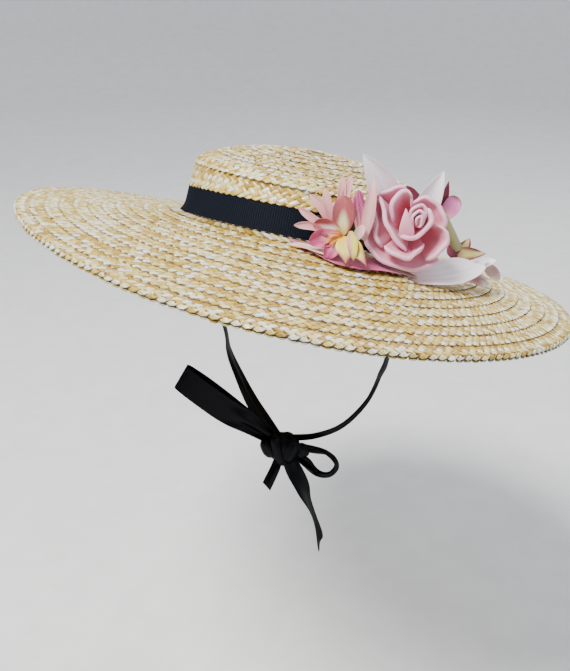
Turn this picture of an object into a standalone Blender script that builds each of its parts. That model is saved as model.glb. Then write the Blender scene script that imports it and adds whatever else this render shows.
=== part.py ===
"""Straw sun hat: low plaited crown, wide drooping brim, ribbon band, a spray of cloth flowers and chin ties.

+Z is up and the wearer looks along -Y. The origin is the middle of the head opening, where the crown
meets the brim. Crown, brim, band and flowers are modelled in the hat's own axes, in which the head
opening is level, and lean with an empty. The ribbon ties hang plumb. Sizes are in millimetres, and the
meshes are written in metres.
"""

import math

import bmesh
import bpy
import numpy as np
from mathutils import Euler, Matrix, Vector

MM = 0.001
GAP = 0.3

# How the hat sits: degrees about the head's axes
LEAN_BACK, LEAN_SIDE, TURN = -15.9, 10.2, -4.8

# Head opening, as the half-widths of an oval at the outside of the crown
OPENING_X, OPENING_Y = 87.0, 101.0
STRAW = 2.0
SEGMENTS = 42

# Crown profile from the brim up: distance in from the opening's oval, and height
CROWN_WALL = (
    (0.0, 0.0),
    (0.6, 9.0),
    (1.2, 19.0),
    (0.2, 20.8),
    (1.5, 22.0),
    (2.3, 33.0),
    (2.6, 37.5),
    (1.9, 39.0),
    (4.6, 42.0),
)
TIP_ROWS = 7
TIP_EDGE_INSET, TIP_EDGE_HEIGHT = 4.6, 42.0
TIP_DOME = 17.0
TIP_RISE_TO_BACK = 0.08

# Brim: half-widths of its edge, how far the edge drops, and its wave
BRIM_X, BRIM_Y = 202.5, 216.8
BRIM_ROWS = 12
BRIM_DROP = 17.5
BRIM_WAVE, BRIM_WAVE_TURN = 5.2, 6.5
BRIM_RISE_TO_BACK, BRIM_FALL_TO_RIGHT = 0.09, 0.02
BRIM_UNDER_CROWN = 2.0
ROW_STEP = 0.9
BRAID_END_AT, BRAID_END_STEP = -118.5, 2.2

# Band ribbon
BAND_FOOT, BAND_WIDTH, BAND_THICKNESS = 0.6, 18.0, 1.0
BAND_FLARE, BAND_FLARE_AT, BAND_FLARE_SPREAD = 2.6, 186.0, 14.0

# Flower backing: a felt patch in front of the band
BACKING_FROM, BACKING_TO = -84.0, -22.0
BACKING_FOOT, BACKING_TOP, BACKING_THICKNESS = 3.0, 17.0, 2.0
BACKING_FACE = GAP + BAND_THICKNESS + 0.6 + BACKING_THICKNESS
STEM_SEAT = BACKING_FACE - 0.8
SEAT_DEPTH, SEAT_CLEARANCE = 8.0, 0.5
BRIM_SEAT_FROM, BRIM_SEAT_TO = -13, 0

PETAL_THICKNESS = 1.0
PETAL_STAGGER = 1.3
RIBBON_THICKNESS = 1.0
RIBBON_WIDTH = 20.0

parts = bpy.data.collections.new("straw_sun_hat")
cutters = bpy.data.collections.new("cutters")


def clear_scene():
    for thing in list(bpy.data.objects):
        bpy.data.objects.remove(thing, do_unlink=True)
    bpy.context.scene.collection.children.link(parts)
    bpy.context.scene.collection.children.link(cutters)


def material(name, colour, roughness, metallic=0.0):
    finish = bpy.data.materials.new(name)
    finish.use_nodes = True
    shader = finish.node_tree.nodes["Principled BSDF"]
    shader.inputs["Base Color"].default_value = (*colour, 1.0)
    shader.inputs["Roughness"].default_value = roughness
    shader.inputs["Metallic"].default_value = metallic
    return finish


def lean_empty():
    """The empty that carries everything that leans with the hat."""
    empty = bpy.data.objects.new("hat_lean", None)
    empty.rotation_euler = [math.radians(a) for a in (LEAN_BACK, LEAN_SIDE, TURN)]
    parts.objects.link(empty)
    return empty


def hat_to_world(point):
    turn = Euler([math.radians(a) for a in (LEAN_BACK, LEAN_SIDE, TURN)]).to_matrix()
    return turn @ Vector(point)


def make_object(name, points, faces, finish, parent=None, collection=None):
    mesh = bpy.data.meshes.new(name)
    mesh.from_pydata([tuple(c * MM for c in p) for p in points], [], faces)
    mesh.update()
    mesh.shade_smooth()
    mesh.set_sharp_from_angle(angle=math.radians(40))
    if finish:
        mesh.materials.append(finish)
    thing = bpy.data.objects.new(name, mesh)
    thing.parent = parent
    (collection or parts).objects.link(thing)
    if collection is cutters:
        thing.hide_render = True
        thing.display_type = "WIRE"
    return thing


def rings_object(name, rings, closed, finish, parent=None):
    """Joins equal rings of points into one skin. Where closed is false the first and last rings are capped."""
    count = len(rings[0])
    points = [p for ring in rings for p in ring]
    faces = []
    for i in range(len(rings) if closed else len(rings) - 1):
        a, b = i * count, ((i + 1) % len(rings)) * count
        for j in range(count):
            k = (j + 1) % count
            faces.append((a + j, b + j, b + k, a + k))
    if not closed:
        for ring, flip in ((0, False), (len(rings) - 1, True)):
            middle = len(points)
            points.append(tuple(np.mean(rings[ring], axis=0)))
            for j in range(count):
                a, b = ring * count + j, ring * count + (j + 1) % count
                faces.append((middle, b, a) if flip else (middle, a, b))
    return make_object(name, points, faces, finish, parent)


def sheet_object(name, place, columns, rows, thickness, finish, parent=None, collection=None):
    """An open grid from place(u, v), u and v from 0 to 1, given its thickness by Solidify."""
    points = [tuple(place(i / columns, j / rows)) for j in range(rows + 1) for i in range(columns + 1)]
    width = columns + 1
    faces = [
        (j * width + i, j * width + i + 1, (j + 1) * width + i + 1, (j + 1) * width + i)
        for j in range(rows)
        for i in range(columns)
    ]
    sheet = make_object(name, points, faces, finish, parent, collection)
    shell = sheet.modifiers.new("thickness", "SOLIDIFY")
    shell.thickness = thickness * MM
    shell.offset = 0.0
    return sheet


def boolean(thing, other, operation, solver="EXACT"):
    cut = thing.modifiers.new(operation.lower() + "_" + other.name, "BOOLEAN")
    cut.operation = operation
    cut.solver = solver
    cut.object = other


def cutter_sheet(name, place, columns, rows, parent, thickness=PETAL_THICKNESS):
    return sheet_object(name, place, columns, rows, thickness, None, parent, cutters)


# Crown, brim and band


def oval(angle, grow=0.0, height=0.0, across=OPENING_X, along=OPENING_Y):
    """A point on the opening's oval, grown outwards, in the hat's axes."""
    return np.array(((across + grow) * math.cos(angle), (along + grow) * math.sin(angle), height))


def segment_angles(count=SEGMENTS):
    return [2 * math.pi * i / count for i in range(count)]


def crown_point(angle, inset, height):
    """A point of the crown. Above the band it rises towards the back of the head."""
    scale = 1.0 - inset / OPENING_X
    point = oval(angle, 0.0, height) * (scale, scale, 1.0)
    point[2] += TIP_RISE_TO_BACK * point[1] * max(0.0, height - BAND_WIDTH) / (TIP_EDGE_HEIGHT - BAND_WIDTH)
    return point


def wall_point(angle, off, height):
    """A point at a distance out from the crown's wall, at the height of the band or just above it."""
    inset = np.interp(height, (0.0, CROWN_WALL[2][1]), (0.0, CROWN_WALL[2][0]))
    normal = np.array((math.cos(angle) / OPENING_X, math.sin(angle) / OPENING_Y, 0.0))
    scale = 1.0 - inset / OPENING_X
    return oval(angle, 0.0, height) * (scale, scale, 1.0) + normal / np.linalg.norm(normal) * off


def tip_profile():
    """Rows of the tip from its edge inwards: each row's outer edge stands proud of the next."""
    rows = []
    span = OPENING_X - TIP_EDGE_INSET
    for i in range(TIP_ROWS):
        outer, inner = i / TIP_ROWS, (i + 1) / TIP_ROWS
        for share, proud in ((outer + 0.02, ROW_STEP), (inner - 0.02, 0.0)):
            rise = TIP_DOME * (1.0 - (1.0 - share) ** 2) ** 0.75
            rows.append((TIP_EDGE_INSET + span * share, TIP_EDGE_HEIGHT + rise + proud))
    return rows[:-1]


def build_crown(straw, lean):
    outer = list(CROWN_WALL) + tip_profile()
    inner = [(inset + STRAW, height) for inset, height in CROWN_WALL[:1] + CROWN_WALL[2:3] + CROWN_WALL[6:7]]
    inner += [(TIP_EDGE_INSET + 3.5, TIP_EDGE_HEIGHT - 0.5)]
    for share in (0.2, 0.45, 0.75):
        rise = TIP_DOME * (1.0 - (1.0 - share) ** 2) ** 0.75
        inner.append((TIP_EDGE_INSET + (OPENING_X - TIP_EDGE_INSET) * share, TIP_EDGE_HEIGHT + rise - STRAW))
    profile = inner[::-1] + outer
    rings = [[crown_point(a, inset, height) for a in segment_angles()] for inset, height in profile]
    return rings_object("crown", rings[::-1], False, straw, lean)


def brim_height(angle, share):
    """The straw's mid surface: it falls from the opening to a waved edge."""
    edge_x, edge_y = BRIM_X * math.cos(angle), BRIM_Y * math.sin(angle)
    wave = BRIM_WAVE * math.cos(2 * (angle - math.radians(BRIM_WAVE_TURN)))
    edge = -BRIM_DROP + wave + BRIM_RISE_TO_BACK * edge_y - BRIM_FALL_TO_RIGHT * edge_x
    return edge * max(share, 0.0)


def braid_end(angle):
    """The spiral braid stops at one place on the edge, which steps out there and comes back in round the hat."""
    turn = (angle - math.radians(BRAID_END_AT)) % (2 * math.pi) / (2 * math.pi)
    return BRAID_END_STEP * (1.0 - turn)


def brim_point(angle, share, above):
    """A point of the brim: share 0 at the opening's oval, 1 at the edge, and a height above the straw."""
    extra = braid_end(angle) * max(share, 0.0) ** 8
    across = OPENING_X + share * (BRIM_X - OPENING_X) + extra
    along = OPENING_Y + share * (BRIM_Y - OPENING_Y) + extra
    return oval(angle, 0.0, brim_height(angle, share) + above, across, along)


def build_brim(straw, lean):
    under = BRIM_UNDER_CROWN / (BRIM_X - OPENING_X)
    top = [(-under, -GAP), (0.012, -GAP)]
    for i in range(BRIM_ROWS):
        inner, outer = i / BRIM_ROWS, (i + 1) / BRIM_ROWS
        top += [(inner + 0.018, -GAP), (outer, ROW_STEP - GAP)]
    profile = top + [(share, -GAP - STRAW) for share in (1.0, 0.66, 0.33, 0.0, -under)]
    rings = [[brim_point(a, share, above) for a in segment_angles()] for share, above in profile]
    return rings_object("brim", rings, True, straw, lean)


def band_flare(angle, rise):
    """At the far side the ribbon's foot kicks out over the first row."""
    off = (math.degrees(angle) - BAND_FLARE_AT + 180.0) % 360.0 - 180.0
    return BAND_FLARE * math.exp(-((off / BAND_FLARE_SPREAD) ** 2)) * max(0.0, 1.0 - rise / 7.0) ** 2


def build_band(ribbon, lean):
    rises = (0.0, 2.5, 7.0, BAND_WIDTH)
    rings = []
    for face, order in ((GAP, rises), (GAP + BAND_THICKNESS, rises[::-1])):
        for rise in order:
            rings.append([wall_point(a, face + band_flare(a, rise), BAND_FOOT + rise) for a in segment_angles()])
    return rings_object("hat_band", rings, True, ribbon, lean)


# Flowers


def on_crown(degrees, off, height):
    """A point in front of the crown's wall: azimuth on the oval, distance out from it, and height."""
    return wall_point(math.radians(degrees), off, height)


def build_backing(felt, lean):
    def place(u, v):
        angle = math.radians(BACKING_FROM + (BACKING_TO - BACKING_FROM) * u)
        height = BACKING_FOOT + (BACKING_TOP - BACKING_FOOT) * v
        return wall_point(angle, BACKING_FACE - BACKING_THICKNESS / 2, height)

    sheet_object("spray_backing", place, 10, 2, BACKING_THICKNESS, felt, lean)


def seat_cutters(lean):
    """Two blocks that trim whatever is fixed to the patch or to the brim, so that it stops just clear of them."""

    def backing(u, v):
        angle = math.radians(BACKING_FROM - 12.0 + (BACKING_TO - BACKING_FROM + 24.0) * u)
        return wall_point(angle, BACKING_FACE + SEAT_CLEARANCE - SEAT_DEPTH / 2, 40.0 * v - 4.0)

    def brim(u, v):
        angle = math.radians((BRIM_SEAT_TO + (BRIM_SEAT_FROM - BRIM_SEAT_TO) * u) * 360.0 / SEGMENTS)
        return brim_point(angle, 0.7 * v, ROW_STEP - GAP + SEAT_CLEARANCE - SEAT_DEPTH / 2)

    return (
        cutter_sheet("backing_clearance", backing, 12, 1, lean, SEAT_DEPTH),
        cutter_sheet("brim_clearance", brim, BRIM_SEAT_TO - BRIM_SEAT_FROM, 1, lean, SEAT_DEPTH),
    )


def stem_object(name, start, end, radius_start, radius_end, finish, parent, sides=8):
    """A tapered round stem between two points."""
    start, end = Vector(start), Vector(end)
    mesh = bpy.data.meshes.new(name)
    shape = bmesh.new()
    bmesh.ops.create_cone(
        shape, cap_ends=True, segments=sides, radius1=radius_start * MM, radius2=radius_end * MM,
        depth=(end - start).length * MM,
    )
    shape.to_mesh(mesh)
    shape.free()
    turn = (end - start).to_track_quat("Z", "Y").to_matrix().to_4x4()
    mesh.transform(Matrix.Translation((start + end) / 2 * MM) @ turn)
    mesh.shade_smooth()
    mesh.set_sharp_from_angle(angle=math.radians(40))
    mesh.materials.append(finish)
    thing = bpy.data.objects.new(name, mesh)
    thing.parent = parent
    parts.objects.link(thing)
    return thing


def petal_place(base, tip, face, width, arch, cup, neck, point):
    """A petal's surface: it runs from base to tip, its upper side towards face."""
    base, tip = np.array(base, float), np.array(tip, float)
    run = tip - base
    across = np.cross(run, np.array(face, float))
    across /= np.linalg.norm(across)
    up = np.cross(across, run)
    up /= np.linalg.norm(up)

    def place(u, v):
        side = 2 * u - 1
        swell = neck + (1 - neck) * math.sin(min(v / 0.45, 1.0) * math.pi / 2)
        half = width / 2 * max(swell * (1 - v ** point), 0.08)
        rise = 4 * arch * v * (1 - v) + cup * side * side * v * (half / (width / 2))
        return base + run * v + across * side * half + up * rise

    return place


def flower(name, stem, petals, finish, lean, columns=3, rows=5):
    """A stem with petals fused to it. Each petal is a row of the table PETAL_COLUMNS."""
    body = stem_object(name, *stem, finish, lean)
    along = np.array(stem[1]) - np.array(stem[0])
    along /= np.linalg.norm(along)
    for i, row in enumerate(petals):
        petal = dict(zip(PETAL_COLUMNS, row))
        petal["base"] = np.array(petal["base"]) - along * (PETAL_STAGGER * (i % 2) + 0.1 * i)
        other = cutter_sheet(f"{name}_petal_{i}", petal_place(**petal), columns, rows, lean)
        boolean(body, other, "UNION", "MANIFOLD")
    return body


PETAL_COLUMNS = ("base", "tip", "face", "width", "arch", "cup", "neck", "point")

FRONT = (0.1, -1.0, 0.1)

# Narrow petals in a fan behind the lily
ASTER_STEM = (on_crown(-76.0, STEM_SEAT, 10.0), on_crown(-77.0, 12.5, 9.5), 6.0, 7.0)
ASTER_HEART = (22.5, -109.0, 9.0)
ASTER_PETALS = (
    (ASTER_HEART, (-4.0, -109.0, 8.5), FRONT, 5.0, 1.0, 0.8, 0.5, 3.0),
    (ASTER_HEART, (-3.5, -109.0, 19.5), FRONT, 5.5, 1.0, 0.8, 0.5, 3.0),
    (ASTER_HEART, (2.0, -108.5, 29.0), FRONT, 6.5, 1.0, 0.8, 0.5, 3.0),
    (ASTER_HEART, (10.5, -108.0, 34.5), FRONT, 6.5, 1.0, 0.8, 0.5, 3.0),
    (ASTER_HEART, (19.5, -106.5, 44.0), FRONT, 6.5, 1.0, 0.8, 0.5, 3.0),
    (ASTER_HEART, (26.0, -105.5, 45.0), FRONT, 6.5, 1.0, 0.8, 0.5, 3.0),
    (ASTER_HEART, (38.5, -102.0, 44.0), FRONT, 8.0, 1.0, 0.8, 0.5, 3.0),
)

LILY_STEM = ((22.5, -111.2, 7.5), (24.0, -119.0, 5.5), 4.0, 5.0)
LILY_HEART = (23.5, -116.5, 6.0)
LILY_PETALS = (
    (LILY_HEART, (21.5, -124.0, 33.5), FRONT, 18.0, 2.5, 3.0, 0.35, 3.5),
    (LILY_HEART, (6.0, -124.0, 19.0), FRONT, 15.0, 2.0, 3.0, 0.35, 3.5),
    (LILY_HEART, (6.5, -124.5, -4.0), FRONT, 13.0, 1.5, 2.0, 0.35, 3.5),
    (LILY_HEART, (27.5, -131.0, -8.5), FRONT, 10.0, 1.0, 1.5, 0.3, 2.5),
    (LILY_HEART, (39.0, -128.0, -5.0), FRONT, 10.0, 1.0, 1.5, 0.3, 2.5),
    (LILY_HEART, (34.5, -122.5, 23.0), FRONT, 9.0, 2.0, 2.0, 0.35, 3.0),
)

# Rose: rings of petals round an axis that faces out and a little up
ROSE_HEART = (64.5, -108.0, 20.0)
ROSE_AXIS = (0.16, -0.96, 0.2)
ROSE_COLUMNS = ("count", "columns", "first", "foot", "reach", "low", "high", "spread", "lip")
ROSE_RINGS = (
    (5, 4, 20.0, 5.0, 22.5, -6.0, 5.0, 43.0, 3.0),
    (4, 3, 55.0, 4.5, 16.0, -5.0, 11.0, 54.0, 2.5),
    (3, 3, 10.0, 4.0, 10.0, -4.5, 14.5, 70.0, 1.5),
    (2, 3, 40.0, 2.5, 5.0, -4.0, 17.0, 92.0, 0.6),
)

ORCHID_STEM = (on_crown(-31.0, STEM_SEAT, 12.0), (92.0, -74.0, 23.0), 4.0, 4.5)
ORCHID_HEART = (90.5, -73.5, 22.5)
ORCHID_PETALS = (
    (ORCHID_HEART, (70.5, -88.0, 45.0), FRONT, 9.0, 1.5, 1.5, 0.4, 2.5),
    (ORCHID_HEART, (86.0, -80.0, 54.0), FRONT, 3.6, 1.0, 0.5, 0.6, 2.5),
    (ORCHID_HEART, (101.5, -68.0, 43.0), FRONT, 13.0, 2.0, 1.5, 0.35, 2.5),
    (ORCHID_HEART, (107.0, -54.0, 12.0), FRONT, 12.0, 2.0, 1.5, 0.4, 3.0),
    (ORCHID_HEART, (116.0, -78.0, 15.0), (0.2, -0.6, 0.8), 20.0, 1.5, 5.0, 0.3, 3.5),
)

# Single leaves: each row is a name and a petal
LEAVES = (
    ("leaf_tall", (on_crown(-46.0, STEM_SEAT, 13.0), (28.7, -107.0, 59.8), FRONT, 20.0, 1.5, 1.5, 0.35, 2.2)),
    ("leaf_folded", (on_crown(-38.0, STEM_SEAT, 13.0), (84.5, -74.0, 60.5), FRONT, 15.0, 2.5, 3.0, 0.35, 2.2)),
    ("leaf_lying", ((74.0, -103.0, -11.0), (127.0, -66.0, 5.0), (0.2, -0.5, 1.0), 22.0, 1.0, 3.0, 0.35, 3.0)),
    ("leaf_small", ((114.0, -50.0, -8.0), (131.0, -60.0, 11.5), (0.3, -0.7, 0.7), 9.0, 1.0, 1.0, 0.4, 2.2)),
)

# Long leaf on the brim: azimuth and share of the brim's width along its middle, and its width there
LONG_LEAF = (
    (-93.0, 0.07, 2.0),
    (-86.0, 0.10, 12.0),
    (-78.0, 0.14, 20.0),
    (-70.0, 0.16, 22.0),
    (-62.0, 0.16, 18.0),
    (-55.0, 0.17, 11.0),
    (-50.0, 0.19, 2.5),
)
LONG_LEAF_LIFT = 1.5


def build_rose(foam, lean):
    heart, axis = np.array(ROSE_HEART), np.array(ROSE_AXIS) / np.linalg.norm(ROSE_AXIS)
    right = np.cross((0.0, 0.0, 1.0), axis)
    right /= np.linalg.norm(right)
    up = np.cross(axis, right)
    start = on_crown(-58.0, STEM_SEAT, 14.0)
    rose = stem_object("rose", start, heart - axis * 2.0, 5.0, 5.5, foam, lean, sides=10)

    def petal(first, foot, reach, low, high, spread, lip):
        def place(u, v):
            side = 2 * u - 1
            width = math.radians(spread) * (0.55 + 0.45 * math.sin(math.pi * (0.1 + 0.6 * v)))
            angle = math.radians(first) + side * width
            roll = max(0.0, v - 0.75) / 0.25
            radius = foot + (reach - foot) * v ** 0.85 + 0.09 * reach * side - 0.08 * reach * side * side
            radius += lip * roll * roll
            height = low + (high - low) * math.sin(v * math.pi / 2) - 0.8 * lip * roll * side * side
            return heart + axis * height + radius * (right * math.cos(angle) + up * math.sin(angle))

        return place

    for ring in ROSE_RINGS:
        row = dict(zip(ROSE_COLUMNS, ring))
        count = row.pop("count")
        columns = row.pop("columns")
        first = row.pop("first")
        for k in range(count):
            place = petal(first + 360.0 * k / count, **row)
            name = f"rose_petal_{row['reach']:.0f}_{k}"
            boolean(rose, cutter_sheet(name, place, columns, 3, lean), "UNION")
    return rose


def build_long_leaf(cloth, lean):
    table = np.array(LONG_LEAF)

    def middle(v):
        where = v * (len(table) - 1)
        azimuth, share, width = (np.interp(where, range(len(table)), table[:, k]) for k in range(3))
        return math.radians(azimuth), share, width

    def place(u, v):
        angle, share, width = middle(v)
        across = share + (2 * u - 1) * width / 2 / (BRIM_X - OPENING_X)
        return brim_point(angle, across, LONG_LEAF_LIFT)

    return sheet_object("leaf_magenta", place, 2, 10, PETAL_THICKNESS, cloth, lean)


def build_flowers(finishes, lean):
    build_backing(finishes["felt"], lean)
    fixed = [
        flower("aster", ASTER_STEM, ASTER_PETALS, finishes["dusty_pink"], lean, columns=2, rows=3),
        build_rose(finishes["rose"], lean),
        flower("orchid", ORCHID_STEM, ORCHID_PETALS, finishes["orchid"], lean),
    ]
    flower("lily", LILY_STEM, LILY_PETALS, finishes["lily"], lean)
    for name, row in LEAVES:
        place = petal_place(**dict(zip(PETAL_COLUMNS, row)))
        fixed.append(sheet_object(name, place, 4, 7, PETAL_THICKNESS, finishes["pale_pink"], lean))
    for seat in seat_cutters(lean):
        for thing in fixed:
            boolean(thing, seat, "DIFFERENCE")
    build_long_leaf(finishes["dusty_pink"], lean)


# Ribbon ties and bow. Each row of a table is a point of the middle line, the way across and the width.

SEAM_IN = STRAW + 0.9 + RIBBON_THICKNESS / 2


def seam_rows(side):
    """The sewn top of a tie, inside the crown's wall at one side of the head."""
    rows = []
    across = hat_to_world((0.0, 1.0, 0.0))
    for inset, height in ((SEAM_IN + 1.0, 14.0), (SEAM_IN + 0.4, 5.0), (SEAM_IN + 0.3, -4.0), (SEAM_IN + 1.5, -13.0)):
        point = hat_to_world((side * (OPENING_X - inset), 0.0, height))
        rows.append((*point, *across, RIBBON_WIDTH))
    return rows


TIE_LEFT = (
    (-59.1, -6.0, -69.9, 0.0, 1.0, -0.2, 20.0),
    (-55.0, -13.0, -92.6, 0.2, 0.95, -0.25, 20.0),
    (-47.6, -21.0, -110.5, 0.45, 0.8, -0.3, 19.0),
    (-36.9, -29.0, -128.5, 0.7, 0.55, -0.3, 17.0),
    (-27.7, -35.5, -141.0, 0.8, 0.3, -0.4, 14.0),
    (-18.6, -40.0, -153.5, 0.8, 0.1, -0.5, 11.0),
)
TIE_RIGHT = (
    (69.0, -6.0, -98.7, 0.0, 1.0, -0.2, 20.0),
    (61.3, -12.0, -117.1, 0.0, 0.95, -0.3, 20.0),
    (49.3, -20.0, -136.7, 0.0, 0.92, -0.35, 18.0),
    (30.9, -28.0, -152.3, 0.0, 0.9, -0.4, 16.0),
    (10.9, -34.0, -157.6, 0.0, 0.9, -0.42, 14.0),
    (-9.0, -40.0, -156.0, 0.0, 0.9, -0.42, 11.0),
)
LOOP_LEFT = (
    (-20.0, -45.5, -156.0, 0.5, 0.1, 0.85, 10.0),
    (-36.0, -48.5, -142.0, 0.5, 0.1, 0.85, 16.0),
    (-55.0, -51.0, -126.5, 0.5, 0.1, 0.85, 20.0),
    (-74.0, -52.0, -110.5, 0.5, 0.1, 0.85, 20.0),
    (-87.0, -50.5, -99.5, 0.5, 0.1, 0.85, 19.5),
    (-89.5, -48.0, -97.5, 0.5, 0.1, 0.85, 19.5),
    (-87.0, -45.5, -99.0, 0.5, 0.1, 0.85, 19.5),
    (-73.0, -45.0, -110.0, 0.5, 0.1, 0.85, 20.0),
    (-55.0, -45.0, -125.0, 0.5, 0.1, 0.85, 19.0),
    (-37.0, -44.0, -138.0, 0.5, 0.1, 0.85, 13.0),
    (-20.0, -42.5, -151.0, 0.5, 0.1, 0.85, 8.0),
)
LOOP_RIGHT = (
    (-8.0, -44.0, -161.0, 0.1, 0.7, -0.7, 11.0),
    (2.0, -46.0, -160.5, 0.15, 0.7, -0.7, 13.0),
    (11.5, -46.5, -162.0, 0.2, 0.75, -0.6, 14.0),
    (21.0, -45.5, -166.0, 0.0, 0.9, -0.42, 16.0),
    (27.5, -45.0, -173.0, 0.0, 0.9, -0.42, 16.0),
    (29.0, -45.0, -180.5, 0.0, 0.9, -0.42, 16.0),
    (23.5, -45.0, -187.0, 0.0, 0.9, -0.42, 16.0),
    (15.0, -44.5, -186.0, 0.2, 0.85, -0.3, 14.0),
    (6.0, -43.0, -177.5, 0.45, 0.7, 0.2, 11.0),
    (-6.0, -41.0, -168.5, 0.45, 0.7, 0.2, 9.0),
)
TAIL_SHORT = (
    (-15.5, -46.0, -168.0, 0.75, 0.5, -0.2, 9.0),
    (-18.5, -49.0, -178.0, 0.75, 0.5, -0.1, 11.0),
    (-22.5, -51.0, -187.0, 0.7, 0.6, 0.0, 13.0),
    (-26.5, -52.0, -195.0, 0.6, 0.7, 0.1, 14.0),
)
TAIL_LONG = (
    (-9.0, -49.0, -168.0, 0.95, 0.2, 0.1, 11.0),
    (-4.0, -53.5, -178.0, 0.95, 0.3, 0.1, 14.0),
    (2.5, -54.5, -192.0, 0.8, 0.6, 0.1, 15.0),
    (8.7, -53.0, -209.5, 0.3, 0.95, 0.0, 18.0),
    (13.4, -53.0, -225.5, 0.25, 0.97, 0.0, 18.0),
    (17.3, -53.0, -243.5, 0.4, 0.9, 0.0, 17.0),
    (18.5, -53.0, -253.0, 0.45, 0.9, 0.0, 12.0),
)
KNOT_AT, KNOT_HALF = (-14.6, -43.0, -163.4), (14.0, 10.5, 14.0)


def smooth_rows(rows, steps):
    """Points on a smooth curve through the rows of a table."""
    rows = np.array(rows, float)
    padded = np.vstack((2 * rows[0] - rows[1], rows, 2 * rows[-1] - rows[-2]))
    result = []
    for i in range(len(rows) - 1):
        a, b, c, d = padded[i : i + 4]
        for t in np.linspace(0.0, 1.0, steps, endpoint=False):
            result.append(0.5 * (2 * b + (c - a) * t + (2 * a - 5 * b + 4 * c - d) * t * t
                                 + (3 * b - a - 3 * c + d) * t ** 3))
    result.append(rows[-1])
    return result


def ribbon(name, rows, satin, steps=2):
    """A flat ribbon along a table's middle line, as wide and turned as its rows say."""
    path = smooth_rows(rows, steps)

    def place(u, v):
        row = path[round(v * (len(path) - 1))]
        across = row[3:6] / np.linalg.norm(row[3:6])
        return row[:3] + across * (u - 0.5) * row[6]

    return sheet_object(name, place, 1, len(path) - 1, RIBBON_THICKNESS, satin)


def knot_object(name, grow, satin, collection=None):
    """The knot's wrapped ribbon: a rounded block with upright folds."""
    rings = []
    for level in np.linspace(-0.92, 0.92, 7):
        waist = (1 - abs(level) ** 2.6) ** 0.4
        ring = []
        for a in segment_angles(16):
            fold = 1.0 + 0.05 * math.cos(5 * a + 0.6)
            half = [(h + grow) * waist * fold for h in KNOT_HALF[:2]]
            ring.append((KNOT_AT[0] + half[0] * math.cos(a), KNOT_AT[1] + half[1] * math.sin(a),
                         KNOT_AT[2] + (KNOT_HALF[2] + grow) * level))
        rings.append(ring)
    knot = rings_object(name, rings[::-1], False, satin)
    if collection:
        parts.objects.unlink(knot)
        collection.objects.link(knot)
        knot.hide_render = True
        knot.display_type = "WIRE"
    return knot


def build_ties(satin):
    knot_object("bow_knot", 0.0, satin)
    clearance = knot_object("knot_clearance", GAP, satin, cutters)
    for name, rows in (
        ("tie_left", seam_rows(-1) + list(TIE_LEFT)),
        ("tie_right", seam_rows(1) + list(TIE_RIGHT)),
        ("bow_loop_left", LOOP_LEFT),
        ("bow_loop_right", LOOP_RIGHT),
        ("bow_tail_short", TAIL_SHORT),
        ("bow_tail_long", TAIL_LONG),
    ):
        boolean(ribbon(name, rows, satin), clearance, "DIFFERENCE")


def main():
    clear_scene()
    lean = lean_empty()
    straw = material("plaited_straw", (0.78, 0.66, 0.42), 0.45)
    grosgrain = material("black_grosgrain", (0.012, 0.013, 0.02), 0.75)
    satin = material("black_satin", (0.01, 0.01, 0.014), 0.3)
    finishes = {
        "felt": material("green_felt", (0.10, 0.14, 0.06), 0.9),
        "rose": material("rose_foam", (0.80, 0.42, 0.45), 0.6),
        "lily": material("lily_cloth", (0.72, 0.25, 0.36), 0.6),
        "orchid": material("orchid_cloth", (0.50, 0.12, 0.26), 0.6),
        "pale_pink": material("pale_pink_cloth", (0.85, 0.70, 0.70), 0.55),
        "dusty_pink": material("dusty_pink_cloth", (0.72, 0.38, 0.42), 0.6),
    }
    build_crown(straw, lean)
    build_brim(straw, lean)
    build_band(grosgrain, lean)
    build_flowers(finishes, lean)
    build_ties(satin)


main()
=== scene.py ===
"""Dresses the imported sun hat: plaited straw, ribbon band and ties, and a spray of cloth flowers.

Everything that leans with the hat is worked out in the hat's own axes, in which the head opening is level.
Tables are in millimetres and degrees. Meshes are written in metres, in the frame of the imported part.
"""

import math
from itertools import pairwise

import bpy
import numpy as np
from bpy.props import FloatProperty, FloatVectorProperty, IntProperty, PointerProperty
from mathutils import Euler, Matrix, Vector


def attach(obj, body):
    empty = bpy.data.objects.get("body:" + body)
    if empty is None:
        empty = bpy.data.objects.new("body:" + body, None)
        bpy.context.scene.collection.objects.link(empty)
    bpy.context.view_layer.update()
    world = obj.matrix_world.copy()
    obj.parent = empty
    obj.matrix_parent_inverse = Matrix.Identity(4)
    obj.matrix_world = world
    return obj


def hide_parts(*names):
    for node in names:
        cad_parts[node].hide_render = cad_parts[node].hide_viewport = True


bl_info = {
    "name": "Straw Sun Hat",
    "version": (1, 0, 0),
    "blender": (4, 5, 0),
    "location": "3D View > Sidebar > Sun Hat",
    "description": "Plaits the straw, cuts the ribbons and makes the flowers of a sun hat",
    "category": "Object",
}

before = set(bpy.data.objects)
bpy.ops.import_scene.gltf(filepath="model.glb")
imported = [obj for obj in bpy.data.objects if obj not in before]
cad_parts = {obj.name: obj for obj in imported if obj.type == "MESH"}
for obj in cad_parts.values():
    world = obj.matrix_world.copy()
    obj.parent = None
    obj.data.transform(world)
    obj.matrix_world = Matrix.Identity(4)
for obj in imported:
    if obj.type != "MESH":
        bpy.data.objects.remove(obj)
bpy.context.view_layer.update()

MM = 0.001
LEAN = np.array(Euler([math.radians(a) for a in (-15.9, 10.2, -4.8)]).to_matrix())

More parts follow.
